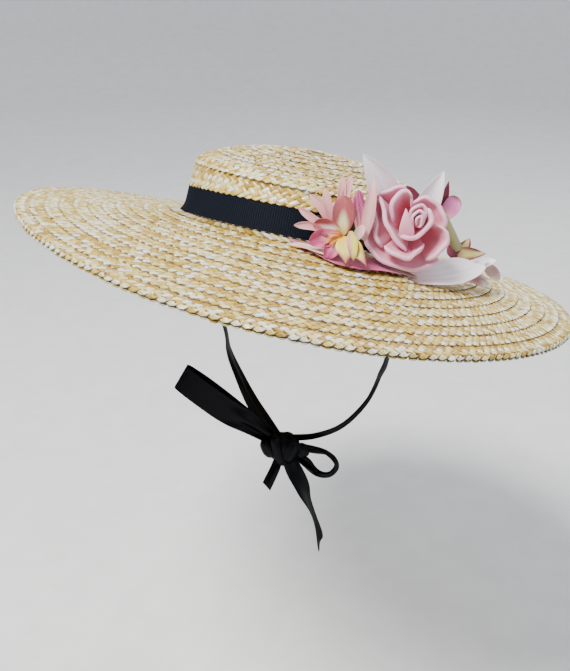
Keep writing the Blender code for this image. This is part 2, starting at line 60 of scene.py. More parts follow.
# The hat's form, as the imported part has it
OPENING_X, OPENING_Y = 87.0, 101.0
BRIM_X, BRIM_Y = 202.5, 216.8
BRIM_DROP, BRIM_WAVE, BRIM_WAVE_TURN = 17.5, 5.2, 6.5
BRIM_RISE_TO_BACK, BRIM_FALL_TO_RIGHT = 0.09, 0.02
BRAID_END_AT, BRAID_END_STEP = -118.5, 2.2
STRAW_THICK = 2.0
TIP_EDGE_INSET, TIP_EDGE_HEIGHT, TIP_DOME, TIP_RISE_TO_BACK = 4.6, 42.0, 17.0, 0.08
BAND_FOOT, BAND_WIDTH = 0.6, 18.0
BAND_FLARE, BAND_FLARE_AT, BAND_FLARE_SPREAD, BAND_FLARE_HEIGHT = 2.6, 186.0, 14.0, 7.0
BAND_OUTSIDE, BAND_INSIDE, RIB_HEIGHT = 1.35, 0.75, 0.13
BAND_INSET, BAND_INSET_HEIGHT = 1.2, 19.0

# The crown's rows: inset and height of their upper and lower edges
BROAD_ROW = ((2.4, 38.6), (0.2, 22.4))
ROW_OVER_BAND = ((1.2, 24.0), (-0.5, 19.6))
SHOULDER_ROW = ((6.0, 44.0), (1.0, 38.0))
INSIDE_CORNER_ROW = ((8.6, 42.0), (3.6, 36.2))
INSIDE_WALL = ((STRAW_THICK + 2.8, 38.0), (STRAW_THICK + 2.2, 26.0), (STRAW_THICK + 1.2, 13.0), (STRAW_THICK, 0.5))
TIP_GAP = 0.6
# Heights of the brim's plait over the middle of the straw, on top and underneath
BRIM_TOP, BRIM_UNDER = -0.25, -2.25


# Settings


def colour_setting(name, description, default):
    return FloatVectorProperty(
        name=name, description=description, default=default, subtype="COLOR", size=3, min=0.0, max=1.0
    )


def length_setting(name, description, default):
    return FloatProperty(name=name, description=description, default=default, unit="LENGTH", precision=4, min=0.0)


class StrawSettings(bpy.types.PropertyGroup):
    splint: length_setting("Splint", "Width of one flattened straw", 0.0041)
    crown_splint: length_setting("Crown splint", "Width of a straw in the broad crown row", 0.0047)
    slat: length_setting("Slat", "Width of a straw in the brim's first row", 0.0052)
    step: length_setting("Row step", "How far each row stands over the next", 0.0009)
    brim_rows: IntProperty(name="Brim rows", description="Sewn rows of plait in the brim", default=12, min=4, max=24)
    tip_rows: IntProperty(name="Tip rows", description="Sewn rows of plait in the tip", default=7, min=3, max=16)
    ochre: colour_setting("Ochre", "Darkest straws", (0.46, 0.28, 0.025))
    gold: colour_setting("Gold", "Golden straws", (0.70, 0.50, 0.08))
    cream: colour_setting("Cream", "Cream straws", (0.86, 0.77, 0.36))
    # Bleached straw, whose blue-white cast is also a painted glint of reflected light
    bleached_and_glint: colour_setting("Silver", "Bleached straws", (0.93, 0.95, 0.86))
    # Painted shade: the dark colour of the base that shows between the splints
    shadow: colour_setting("Shadow", "Straw deep in the plait", (0.17, 0.10, 0.035))


class RibbonSettings(bpy.types.PropertyGroup):
    rib: length_setting("Rib", "Spacing of the ribs of the band", 0.0016)
    width: length_setting("Tie width", "Width of the satin ties", 0.020)
    thickness: length_setting("Thickness", "Thickness of the ribbons", 0.0004)
    band: colour_setting("Band", "Ribbed band", (0.009, 0.012, 0.021))
    satin: colour_setting("Satin", "Satin ties", (0.0012, 0.0012, 0.0025))


class FlowerSettings(bpy.types.PropertyGroup):
    petal: length_setting("Petal", "Thickness of a cloth petal", 0.0005)
    foam: length_setting("Foam", "Thickness of a rose petal", 0.0011)
    rose_pale: colour_setting("Rose edge", "Rose petals at their edges", (0.85, 0.45, 0.61))
    # The rose's deeper pink, which also holds painted shade in its folds and heart
    rose_deep_and_shade: colour_setting("Rose heart", "Rose petals in their folds", (0.60, 0.14, 0.20))
    blush: colour_setting("Blush", "Pale leaves", (0.93, 0.84, 0.90))
    dusty: colour_setting("Dusty pink", "Narrow petals", (0.70, 0.27, 0.31))
    mauve: colour_setting("Mauve", "Lily petals towards their ends", (0.36, 0.075, 0.09))
    magenta: colour_setting("Magenta", "Brightest petals", (0.54, 0.08, 0.22))
    lime: colour_setting("Lime", "Throat of the lily", (0.84, 0.74, 0.20))
    olive: colour_setting("Olive", "Stem of the orchid", (0.36, 0.34, 0.16))
    plum: colour_setting("Plum", "Darkest petals", (0.16, 0.02, 0.05))
    stamen: colour_setting("Stamen", "Stamens of the lily", (0.86, 0.34, 0.04))


class StageSettings(bpy.types.PropertyGroup):
    drop: length_setting("Floor", "How far the floor lies below the head opening", 0.42)
    floor: colour_setting("Floor colour", "Pale floor", (0.80, 0.81, 0.83))
    key: FloatProperty(name="Key", description="Power of the main light", default=92.0, unit="POWER")
    fill: FloatProperty(name="Fill", description="Power of the fill light", default=9.0, unit="POWER")
    rim: FloatProperty(name="Rim", description="Power of the light behind", default=16.0, unit="POWER")


# Meshes


def to_frame(points, leaning=True):
    """Millimetres to metres, turned with the hat where leaning is true."""
    points = np.asarray(points, float)
    return (points @ LEAN.T if leaning else points) * MM


def make_piece(name, points, polygons, finish, tint=None, uv=None, sharp=40.0):
    """A mesh from points in metres and arrays of faces, each array of one length of face."""
    mesh = bpy.data.meshes.new(name)
    loops = np.concatenate([p.ravel() for p in polygons]).astype(np.int32)
    totals = np.concatenate([np.full(len(p), p.shape[1]) for p in polygons])
    starts = np.concatenate(([0], np.cumsum(totals)[:-1])).astype(np.int32)
    mesh.vertices.add(len(points))
    mesh.vertices.foreach_set("co", points.astype(np.float32).ravel())
    mesh.loops.add(len(loops))
    mesh.loops.foreach_set("vertex_index", loops)
    mesh.polygons.add(len(totals))
    mesh.polygons.foreach_set("loop_start", starts)
    mesh.update(calc_edges=True)
    if tint is not None:
        colours = mesh.color_attributes.new(name="tint", type="FLOAT_COLOR", domain="POINT")
        colours.data.foreach_set("color", np.hstack((tint, np.ones((len(tint), 1)))).astype(np.float32).ravel())
    if uv is not None:
        layer = mesh.uv_layers.new(name="grain")
        layer.data.foreach_set("uv", uv[loops].astype(np.float32).ravel())
    mesh.shade_smooth()
    mesh.set_sharp_from_angle(angle=math.radians(sharp))
    mesh.materials.append(finish)
    piece = bpy.data.objects.new(name, mesh)
    bpy.context.scene.collection.objects.link(piece)
    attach(piece, "root")
    return piece


def grid_faces(rows, columns, start=0, wrap=False):
    """Quads of a grid of points, row by row. Where wrap is true the last column joins the first."""
    j = np.arange(rows - 1)[:, None]
    i = np.arange(columns if wrap else columns - 1)[None, :]
    k = (i + 1) % columns
    corners = (j * columns + i, j * columns + k, (j + 1) * columns + k, (j + 1) * columns + i)
    return np.stack(np.broadcast_arrays(*corners), axis=-1).reshape(-1, 4) + start


def grid_border(rows, columns):
    """The points round the border of a grid, in order."""
    index = np.arange(rows * columns).reshape(rows, columns)
    return np.concatenate((index[0], index[1:, -1], index[-1, -2::-1], index[-2:0:-1, 0]))


def unit(vectors):
    return vectors / np.maximum(np.linalg.norm(vectors, axis=-1, keepdims=True), 1e-9)


def shell(grid, thickness, round_edge=0.4):
    """A closed skin on both sides of a grid of points, thinner at its border."""
    rows, columns = grid.shape[:2]
    normals = unit(np.cross(np.gradient(grid, axis=1), np.gradient(grid, axis=0)))
    half = np.full((rows, columns, 1), thickness / 2)
    for border in (np.s_[0, :], np.s_[-1, :], np.s_[:, 0], np.s_[:, -1]):
        half[border] = thickness / 2 * round_edge
    points = np.concatenate(((grid + normals * half).reshape(-1, 3), (grid - normals * half).reshape(-1, 3)))
    front = grid_faces(rows, columns)
    count = rows * columns
    rim = grid_border(rows, columns)
    after = np.roll(rim, -1)
    edge = np.stack((rim, rim + count, after + count, after), axis=1)
    return points, np.concatenate((front, front[:, ::-1] + count, edge))


class Parts:
    """Gathers shells into one mesh."""

    def __init__(self):
        self.points, self.faces, self.tint, self.uv = [], {}, [], []
        self.count = 0

    def add(self, points, faces, tint, uv=None):
        """faces is an array of faces, or several with a length of face each."""
        self.points.append(points)
        for some in faces if isinstance(faces, tuple) else (faces,):
            self.faces.setdefault(some.shape[1], []).append(some + self.count)
        self.tint.append(np.broadcast_to(tint, points.shape).astype(float))
        self.uv.append(np.zeros((len(points), 2)) if uv is None else uv)
        self.count += len(points)

    def add_shell(self, grid, thickness, tint, uv=None, round_edge=0.4):
        """tint and uv are given for the grid and used on both sides."""
        points, faces = shell(grid, thickness, round_edge)
        tint = np.broadcast_to(tint, grid.shape).reshape(-1, 3)
        both = np.concatenate((tint, tint))
        if uv is not None:
            uv = np.concatenate((uv.reshape(-1, 2), uv.reshape(-1, 2)))
        self.add(points, faces, both, uv)

    def add_petal(self, grid, thickness, tint, round_edge=0.4):
        self.add_shell(grid, thickness, tint, petal_uv(grid), round_edge)

    def piece(self, name, finish, node, slot, leaning=True, sharp=50.0):
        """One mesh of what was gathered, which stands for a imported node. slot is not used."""
        points = to_frame(np.concatenate(self.points), leaning)
        polygons = [np.concatenate(some) for some in self.faces.values()]
        tint, uv = np.concatenate(self.tint), np.concatenate(self.uv)
        piece = make_piece(name, points, polygons, finish, tint, uv, sharp)
        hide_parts(node)
        return piece


# Materials


EVEN = (1.0, 1.0, 1.0)
WHITE = (1.0, 1.0, 1.0)


def scaled(colour, factor):
    return tuple(c * factor for c in colour)


def noise(tree, coordinate, stretch, scale, detail):
    """Noise over one of the piece's coordinates: Object in metres, or UV in the units that the piece was given."""
    mapping = tree.nodes.new("ShaderNodeMapping")
    mapping.inputs["Scale"].default_value = stretch
    tree.links.new(tree.nodes.new("ShaderNodeTexCoord").outputs[coordinate], mapping.inputs["Vector"])
    node = tree.nodes.new("ShaderNodeTexNoise")
    node.inputs["Scale"].default_value = scale
    node.inputs["Detail"].default_value = detail
    tree.links.new(mapping.outputs["Vector"], node.inputs["Vector"])
    return node.outputs["Fac"]


def ramp(tree, source, stops):
    """A run between two colours, each with its place on the source."""
    node = tree.nodes.new("ShaderNodeValToRGB")
    for element, (place, colour) in zip(node.color_ramp.elements, stops):
        element.position = place
        element.color = (*colour, 1.0)
    tree.links.new(source, node.inputs["Fac"])
    return node.outputs["Color"]


def times_tint(tree, colour):
    """A colour multiplied by the tint that the mesh carries."""
    tint = tree.nodes.new("ShaderNodeVertexColor")
    tint.layer_name = "tint"
    node = tree.nodes.new("ShaderNodeMix")
    node.data_type = "RGBA"
    node.blend_type = "MULTIPLY"
    node.inputs["Factor"].default_value = 1.0
    tree.links.new(tint.outputs["Color"], node.inputs["A"])
    tree.links.new(colour, node.inputs["B"])
    return node.outputs["Result"]


def plus(tree, a, b):
    node = tree.nodes.new("ShaderNodeMath")
    node.operation = "ADD"
    tree.links.new(a, node.inputs[0])
    tree.links.new(b, node.inputs[1])
    return node.outputs["Value"]


def new_finish(name, roughness, grain, stops, relief=None, tinted=False, weave=None, **sockets):
    """A finish whose colour and relief follow one grain.

    grain is its coordinate, stretch, scale and detail, and stops are the two colours it runs between. relief is the
    strength and depth of the bump, and weave the scale of a fine cloth added to it. Other sockets are set by name.
    """
    finish = bpy.data.materials.new(name)
    finish.use_nodes = True
    tree = finish.node_tree
    shader = tree.nodes["Principled BSDF"]
    shader.inputs["Roughness"].default_value = roughness
    for socket, value in sockets.items():
        shader.inputs[socket.replace("_", " ")].default_value = value
    height = noise(tree, *grain)
    colour = ramp(tree, height, stops)
    tree.links.new(times_tint(tree, colour) if tinted else colour, shader.inputs["Base Color"])
    if weave:
        height = plus(tree, height, noise(tree, "Object", EVEN, weave, 1.0))
    if relief:
        node = tree.nodes.new("ShaderNodeBump")
        node.inputs["Strength"].default_value, node.inputs["Distance"].default_value = relief
        tree.links.new(height, node.inputs["Height"])
        tree.links.new(node.outputs["Normal"], shader.inputs["Normal"])
    return finish


def straw_finish():
    """Each splint's own colour, with the fibres that run along it."""
    fibres = ("UV", (0.16, 2.6, 1.0), 1.0, 3.0)
    stops = ((0.32, (0.58, 0.46, 0.22)), (0.52, WHITE))
    return new_finish("straw_splints", 0.38, fibres, stops, (0.35, 0.0003), True, Coat_Weight=0.5, Coat_Roughness=0.2)


def straw_shadow_finish(colour):
    """Painted shade: the dark straw of the base that shows deep between the splints."""
    stops = ((0.35, scaled(colour, 0.5)), (0.65, scaled(colour, 1.5)))
    return new_finish("straw_shadow", 0.8, ("Object", EVEN, 420.0, 2.0), stops, (0.4, 0.0004))


def band_finish(colour):
    """Ribbed ribbon: matte, with painted shade in the grooves that the tint holds."""
    weave = ("UV", (1.2, 5.0, 1.0), 1.0, 2.0)
    stops = ((0.3, scaled(colour, 0.6)), (0.7, scaled(colour, 1.7)))
    coat = {"Specular_IOR_Level": 0.0, "Coat_Weight": 0.1, "Coat_Roughness": 0.5}
    return new_finish("black_grosgrain", 0.75, weave, stops, (0.25, 0.0002), True, **coat)


def satin_finish(colour):
    """Satin ribbon: dark, with a soft sheen and fine threads across it."""
    threads = ("UV", (5.0, 0.35, 1.0), 1.0, 2.0)
    stops = ((0.3, scaled(colour, 0.7)), (0.7, scaled(colour, 1.6)))
    coat = {"Specular_IOR_Level": 0.0, "Coat_Weight": 0.16, "Coat_Roughness": 0.28}
    return new_finish("black_satin", 0.6, threads, stops, (0.2, 0.0001), **coat)


def petal_finish(name, roughness, vein=0.82, weave=900.0):
    """Dyed cloth or foam: the petal's own colours, veins that run along it and a fine weave."""
    veins = ("UV", (9.0, 0.6, 1.0), 1.0, 2.5)
    stops = ((0.32, scaled(WHITE, vein)), (0.6, WHITE))
    depth = {"Subsurface_Weight": 0.12, "Subsurface_Radius": (0.004, 0.002, 0.0015), "Subsurface_Scale": 1.0}
    sheen = {"Sheen_Weight": 0.2, "Sheen_Roughness": 0.4}
    return new_finish(name, roughness, veins, stops, (0.25, 0.0003), True, weave, **depth, **sheen)


def felt_finish():
    stops = ((0.3, (0.02, 0.03, 0.012)), (0.7, (0.07, 0.09, 0.04)))
    return new_finish("green_felt", 0.9, ("Object", EVEN, 700.0, 3.0), stops, (0.5, 0.0004))


def floor_finish(colour):
    stops = ((0.4, scaled(colour, 0.98)), (0.6, scaled(colour, 1.02)))
    return new_finish("pale_floor", 0.75, ("Object", EVEN, 30.0, 4.0), stops)


# Straw


def oval_turn(share, across, along):
    """The azimuth at a share of the way round an oval, measured along its edge."""
    turns = np.linspace(0.0, 2 * math.pi, 721)
    steps = np.hypot(np.diff(across * np.cos(turns)), np.diff(along * np.sin(turns)))
    way = np.concatenate(([0.0], np.cumsum(steps)))
    return np.interp(np.mod(share, 1.0) * way[-1], way, turns)


def oval_length(across, along):
    turns = np.linspace(0.0, 2 * math.pi, 361)
    return np.hypot(np.diff(across * np.cos(turns)), np.diff(along * np.sin(turns))).sum()


def brim_surface(turn, share, above):
    """A point of the brim: share 0 at the head opening, 1 at the edge, and a height above the middle of the straw."""
    end = (turn - math.radians(BRAID_END_AT)) % (2 * math.pi) / (2 * math.pi)
    extra = BRAID_END_STEP * (1.0 - end) * np.maximum(share, 0.0) ** 8
    across = OPENING_X + share * (BRIM_X - OPENING_X) + extra
    along = OPENING_Y + share * (BRIM_Y - OPENING_Y) + extra
    wave = BRIM_WAVE * np.cos(2 * (turn - math.radians(BRIM_WAVE_TURN)))
    tilt = BRIM_RISE_TO_BACK * BRIM_Y * np.sin(turn) - BRIM_FALL_TO_RIGHT * BRIM_X * np.cos(turn)
    height = (wave + tilt - BRIM_DROP) * np.maximum(share, 0.0) + above
    return np.stack((across * np.cos(turn), along * np.sin(turn), height), axis=-1)


def crown_surface(turn, inset, height):
    scale = 1.0 - inset / OPENING_X
    x, y = OPENING_X * scale * np.cos(turn), OPENING_Y * scale * np.sin(turn)
    rise = TIP_RISE_TO_BACK * y * np.maximum(0.0, height - BAND_WIDTH) / (TIP_EDGE_HEIGHT - BAND_WIDTH)
    return np.stack(np.broadcast_arrays(x, y, height + rise), axis=-1)


def tone_of(settings, value):
    """A straw colour for each value from 0, ochre, to 1, bleached, whose palest colour also holds a painted glint."""
    stops = (0.0, 0.35, 0.68, 1.0)
    colours = np.array((settings.ochre, settings.gold, settings.cream, settings.bleached_and_glint))
    return np.stack([np.interp(value, stops, colours[:, k]) for k in range(3)], axis=-1)


# A splint: the places of its points as shares of its half width and half length, and their heights
SPLINT_ACROSS = np.array((-1.0, -0.62, 0.62, 1.0))
SPLINT_ALONG = np.array((-1.0, 0.0, 1.0))
SPLINT_HALF, SPLINT_REACH = 0.49, 0.78
SPLINT_PROUD, SPLINT_EDGE, SPLINT_TUCK = 0.45, -0.30, 0.62
# Painted shade on each splint's sides and ends, where it dips into the grooves between splints
EDGE_SHADE, END_SHADE = 0.5, 0.8
PLAIT_SLOPE, SLAT_SLOPE, SLAT_PITCH = 45.0, 50.0, 1.25
# How far splints stray: in place, slope, height, roll and tone
PLAIT_STRAY, SLAT_STRAY = 0.12, 0.2
SLOPE_STRAY, HEIGHT_STRAY, ROLL_STRAY, TONE_STRAY = 0.05, 0.08, 0.06, 0.30
# Tones: of the plait and the slats; how much a lean changes them, a painted sheen that lightens the lines leaning one
# way; how much a bunch of straws changes them; and how much painted shade darkens the innermost lines, under the row
# before
PLAIT_TONE, SLAT_TONE = 0.60, 0.6
LEAN_SHEEN_TONE, BUNCH_TONE, UNDERLAP_SHADE_TONE = 0.16, 0.25, 0.30
# How many straws make a bunch, how many innermost lines take the painted shade, and the shortest row that takes it
BUNCH, UNDERLAP_SHADE_LINES, SHORTEST_SHADED_ROW = 5, 3, 90.0
# Splints near a row's limit are held back by a share and lifted
LIMIT_MARGIN, HELD_BACK, HELD_RISE = 0.9, 0.6, 0.35
GRAIN_SHIFT = 90.0
SPLINT_SHARP = 55.0
# How far apart the places are that the slope of a row is taken from
SMALL = 0.2
# How far past its width a turned row goes before it goes down
TURN_AT = 0.3
# The tip's rows: the share left at its middle, the largest share out to its middle, and how full its dome is
TIP_INNER, TIP_OUTER, TIP_FULLNESS = 0.02, 0.985, 0.75


def splint_faces():
    """The faces of one splint: its arched top and a single face below."""
    rows, columns = len(SPLINT_ALONG), len(SPLINT_ACROSS)
    return grid_faces(rows, columns), grid_border(rows, columns)[None, ::-1]


class Straws:
    """Gathers woven rows of splints into one mesh."""

    def __init__(self, settings, seed):
        self.settings = settings
        self.random = np.random.default_rng(seed)
        self.points, self.tint, self.uv, self.flips = [], [], [], []

    def row(self, surface, length, width, splint, tuck=1.5, edge=0.7, past=1.3, facing=1):
        """One row of plait. surface(share of the way round, distance across) gives its points.

        Lines of splints lean one way and the other in turn, which is what shows of a plain plait. The row starts
        tuck inside its width, and its scalloped edge hangs past over the next row.
        """
        count = max(6, round(length / (splint * math.sqrt(2))))
        half = length / count / 2
        lines = math.ceil((width + tuck - edge) / half)
        bunches = self.random.random(count // BUNCH + 2)
        for line in range(lines):
            lean = 1 if line % 2 else -1
            round_way = (np.arange(count) + 0.5 * (line % 2)) * 2 * half
            middle = np.stack((round_way, np.full(count, width - edge - line * half)), 1)
            middle += self.random.normal(0.0, PLAIT_STRAY, middle.shape)
            bunch = np.interp(np.arange(count) / BUNCH + 0.3 * line, np.arange(len(bunches)), bunches)
            # Painted shade on the innermost lines, which lie under the overhang of the row before
            underlap_shade = line > lines - UNDERLAP_SHADE_LINES and length > SHORTEST_SHADED_ROW
            # Painted sheen: lines that lean one way are lighter and the others darker, as the straw catches the light
            tone = PLAIT_TONE - LEAN_SHEEN_TONE * lean + BUNCH_TONE * (bunch - 0.5) - UNDERLAP_SHADE_TONE * underlap_shade
            slope = lean * math.radians(PLAIT_SLOPE)
            self.lay(surface, length, middle, slope, half * math.sqrt(2), SPLINT_REACH, width + past, facing, tone)

    def slats(self, surface, length, width, splint, past=1.6):
        """One row of single splints side by side that all lean the same way."""
        count = round(length / splint / SLAT_PITCH)
        pitch = length / count
        middle = np.stack((np.arange(count) * pitch, np.full(count, width / 2)), 1)
        middle += self.random.normal(0.0, SLAT_STRAY, middle.shape)
        slope = math.radians(SLAT_SLOPE)
        reach = (width / 2 + past) / math.sin(slope) / splint
        self.lay(surface, length, middle, slope, splint, reach, width + past, 1, SLAT_TONE)

    def lay(self, surface, length, middle, slope, splint, reach, limit, facing, tone):
        """Places a line of splints at (way round, distance across) places. None goes far past limit across."""
        count = len(middle)
        slope = slope + self.random.normal(0.0, SLOPE_STRAY, count)
        u, v = (axis.ravel()[None] for axis in np.meshgrid(SPLINT_ACROSS, SPLINT_ALONG))
        sides, ends = np.abs(u) == 1.0, np.abs(v) == 1.0
        u, v = u * splint * SPLINT_HALF, v * splint * reach
        along = np.stack((np.cos(slope), np.sin(slope)), 1)[:, None]
        across = np.stack((-np.sin(slope), np.cos(slope)), 1)[:, None]
        flat = middle[:, None] + v[..., None] * along + u[..., None] * across
        over = np.maximum(flat[..., 1] - limit + LIMIT_MARGIN, 0.0)
        flat[..., 1] -= over * HELD_BACK
        height = np.where(sides, SPLINT_EDGE, SPLINT_PROUD) - SPLINT_TUCK * ends
        height = height + self.random.normal(0.0, HEIGHT_STRAY, (count, 1)) + HELD_RISE * np.minimum(over, 1.0)
        height = height + self.random.normal(0.0, ROLL_STRAY, (count, 1)) * u
        self.points.append(self.lift(surface, flat, height, length, facing).reshape(-1, 3))
        tint = tone_of(self.settings, np.clip(tone + self.random.normal(0.0, TONE_STRAY, count), 0.0, 1.0))
        # Painted shade: darker at the sides and ends of each splint
        shade = np.where(sides, EDGE_SHADE, 1.0) * np.where(ends, END_SHADE, 1.0)
        self.tint.append((tint[:, None] * shade[..., None]).reshape(-1, 3))
        shift = self.random.random((count, 1, 2)) * GRAIN_SHIFT
        self.uv.append((np.stack((v, u), -1) + shift).reshape(-1, 2))
        self.flips.append(np.full(count, facing > 0))

    def lift(self, surface, flat, height, length, facing):
        """Points at a height above the row's surface."""
        share, across = flat[..., 0] / length, flat[..., 1]
        point = surface(share, across)
        turn = surface(share + SMALL / length, across) - point
        down = surface(share, across + SMALL) - point
        return point + unit(np.cross(down, turn) * facing) * height[..., None]

    def piece(self, name, finish):
        top, under = splint_faces()
        flips = np.concatenate(self.flips)
        starts = np.arange(len(flips)) * len(SPLINT_ACROSS) * len(SPLINT_ALONG)
        polygons = []
        for faces in (top, under):
            for flip in (True, False):
                here = starts[flips == flip]
                order = faces[:, ::-1] if flip else faces
                if len(here):
                    polygons.append((order[None] + here[:, None, None]).reshape(-1, faces.shape[1]))
        points, tint, uv = (np.concatenate(some) for some in (self.points, self.tint, self.uv))
        piece = make_piece(name, to_frame(points), polygons, finish, tint, uv, SPLINT_SHARP)
        return piece


def brim_row(settings, row, above, facing, turned=False):
    """The surface of one brim row, its length and its width. A turned row goes on down over the brim's edge."""
    rows = settings.brim_rows
    inner, outer = row / rows, (row + 1) / rows
    width = (BRIM_X + BRIM_Y - OPENING_X - OPENING_Y) / 2 / rows
    middle = (inner + outer) / 2
    across = OPENING_X + middle * (BRIM_X - OPENING_X)
    along = OPENING_Y + middle * (BRIM_Y - OPENING_Y)
    step = settings.step / MM * facing

    def surface(share, distance):
        flat = np.minimum(distance, width + TURN_AT) if turned else distance
        way = flat / width
        down = distance - flat
        return brim_surface(oval_turn(share, across, along), inner + (outer - inner) * way, above + step * way - down)

    return surface, oval_length(across, along), width


def profile_row(start, end, lift=0.0):
    """A crown row between two (inset, height) places, the second one lower or further out."""
    across = OPENING_X - (start[0] + end[0]) / 2
    along = across * OPENING_Y / OPENING_X
    width = math.hypot(end[0] - start[0], end[1] - start[1])
    steep = end[1] < start[1] - width / 2

    def surface(share, distance):
        way = distance / width
        inset = start[0] + (end[0] - start[0]) * way - lift * way * steep
        height = start[1] + (end[1] - start[1]) * way + lift * way * (not steep)
        return crown_surface(oval_turn(share, across, along), inset, height)

    return surface, oval_length(across, along), width


def tip_places(rows, drop=0.0):
    """(inset, height) of the edges of the tip's rows from its middle outwards."""
    places = []
    for i in range(rows + 1):
        share = max(1.0 - i / rows, TIP_INNER)
        rise = TIP_DOME * (1.0 - (1.0 - share) ** 2) ** TIP_FULLNESS
        inset = TIP_EDGE_INSET + (OPENING_X - TIP_EDGE_INSET) * min(share, TIP_OUTER)
        places.append((inset, TIP_EDGE_HEIGHT + rise - drop))
    return places


# Ribbons


# The deepest fold of a ribbon that is drawn in, and where across it the folds start
DEEPEST_FOLD, FOLD_PHASE = 2.6, 0.8
# The seam of a tie inside the crown: distance from the middle and height
TIE_SEAM = (
    (OPENING_X - 4.4, 14.0),
    (OPENING_X - 3.8, 5.0),
    (OPENING_X - 3.7, -4.0),
    (OPENING_X - 4.9, -13.0),
)
# Ribbons, in the axes of the frame: a place of the middle, the direction across and the width that shows there
TIE_LEFT = (
    (-59.6, -6.0, -69.9, 0.0, 1.0, -0.2, 20.0),
    (-55.0, -13.0, -92.6, 0.1, 0.98, -0.25, 20.0),
    (-47.0, -21.0, -110.5, 0.22, 0.92, -0.3, 19.0),
    (-37.5, -29.0, -128.5, 0.4, 0.8, -0.3, 17.0),
    (-28.5, -35.5, -141.0, 0.65, 0.5, -0.4, 15.0),
    (-18.6, -40.0, -153.5, 0.8, 0.1, -0.5, 13.0),
)
TIE_RIGHT = (
    (71.5, -6.0, -97.5, 0.0, 1.0, -0.2, 20.0),
    (64.5, -12.0, -116.0, 0.0, 0.95, -0.3, 20.0),
    (52.6, -20.0, -136.0, 0.0, 0.92, -0.38, 18.0),
    (34.0, -28.0, -152.0, 0.0, 0.9, -0.46, 16.0),
    (12.5, -34.0, -157.8, 0.0, 0.9, -0.48, 14.0),
    (-9.0, -40.0, -156.0, 0.0, 0.9, -0.45, 11.0),
)
LOOP_LEFT = (
    (-20.0, -45.5, -154.0, 0.5, 0.1, 0.85, 10.0),
    (-36.0, -48.5, -140.0, 0.5, 0.1, 0.85, 16.0),
    (-55.0, -51.0, -126.5, 0.5, 0.1, 0.85, 20.0),
    (-74.0, -52.0, -110.5, 0.5, 0.1, 0.85, 20.0),
    (-87.0, -50.5, -99.5, 0.5, 0.1, 0.85, 20.0),
    (-89.5, -48.0, -97.5, 0.5, 0.1, 0.85, 20.0),
    (-87.0, -45.5, -99.0, 0.5, 0.1, 0.85, 20.0),
    (-73.0, -45.0, -110.0, 0.5, 0.1, 0.85, 20.0),
    (-55.0, -45.0, -125.0, 0.5, 0.1, 0.85, 19.0),
    (-37.0, -44.0, -138.0, 0.5, 0.1, 0.85, 13.0),
    (-20.0, -42.5, -151.0, 0.5, 0.1, 0.85, 8.0),
)
LOOP_RIGHT = (
    (-8.0, -44.0, -162.0, 0.1, 0.6, -0.78, 12.0),
    (2.0, -46.0, -162.5, 0.15, 0.45, -0.88, 13.0),
    (11.5, -46.5, -164.0, 0.25, 0.5, -0.82, 14.0),
    (21.0, -45.5, -167.0, 0.1, 0.8, -0.6, 16.0),
    (27.5, -45.0, -173.0, 0.0, 0.9, -0.42, 16.0),
    (29.0, -45.0, -180.5, 0.0, 0.9, -0.42, 16.0),
    (23.5, -45.0, -187.0, 0.0, 0.9, -0.42, 16.0),
    (15.0, -44.5, -186.0, 0.2, 0.85, -0.3, 14.0),
    (6.0, -43.0, -177.5, 0.45, 0.7, 0.2, 11.0),
    (-6.0, -41.0, -168.5, 0.45, 0.7, 0.2, 9.0),
)
TAIL_SHORT = (
    (-15.5, -46.0, -168.0, 0.85, 0.3, -0.3, 8.0),
    (-18.5, -49.0, -178.0, 0.88, 0.25, -0.3, 10.0),
    (-22.5, -51.0, -187.0, 0.88, 0.25, -0.3, 11.0),
    (-26.0, -52.0, -195.0, 0.88, 0.25, -0.3, 11.0),
)
TAIL_LONG = (
    (-9.0, -49.0, -168.0, 0.95, 0.2, 0.1, 11.0),
    (-4.0, -53.5, -178.0, 0.95, 0.3, 0.1, 14.0),
    (2.5, -54.5, -192.0, 0.8, 0.6, 0.1, 15.0),
    (8.7, -53.0, -209.5, 0.3, 0.95, 0.0, 18.0),
    (13.4, -53.0, -225.5, 0.25, 0.97, 0.0, 18.0),
    (17.3, -53.0, -243.5, 0.45, 0.9, 0.0, 17.0),
    (18.3, -53.0, -251.0, 0.55, 0.83, 0.0, 13.0),
)
# The knot's folds: middle, half sizes, and lean in the plane of the bow
KNOT_FOLDS = (
    ((-13.6, -42.5, -163.0), (13.0, 9.0, 12.5), 10.0),
    ((-23.5, -45.0, -162.0), (6.5, 6.5, 9.5), -20.0),
    ((-17.0, -49.0, -162.5), (4.6, 5.0, 14.0), -14.0),
    ((-7.5, -48.5, -163.5), (6.5, 5.0, 11.5), 24.0),
    ((-1.0, -46.0, -164.0), (8.5, 2.8, 6.5), 12.0),
)


def smooth_path(rows, steps):
    """Rows of a table joined by a smooth curve through each of them."""
    rows = np.array(rows, float)
    padded = np.vstack((2 * rows[0] - rows[1], rows, 2 * rows[-1] - rows[-2]))
    result = []
    for i in range(len(rows) - 1):
        a, b, c, d = padded[i : i + 4]
        for t in np.linspace(0.0, 1.0, steps, endpoint=False):
            bend = (2 * a - 5 * b + 4 * c - d) * t * t
            result.append(0.5 * (2 * b + (c - a) * t + bend + (3 * b - a - 3 * c + d) * t**3))
    result.append(rows[-1])
    return np.array(result)


def seam_rows(side, width):
    """The sewn top of a tie, inside the crown at one side."""
    across = LEAN @ (0.0, 1.0, 0.0)
    return [(*(LEAN @ (side * x, 0.0, z)), *across, width) for x, z in TIE_SEAM]


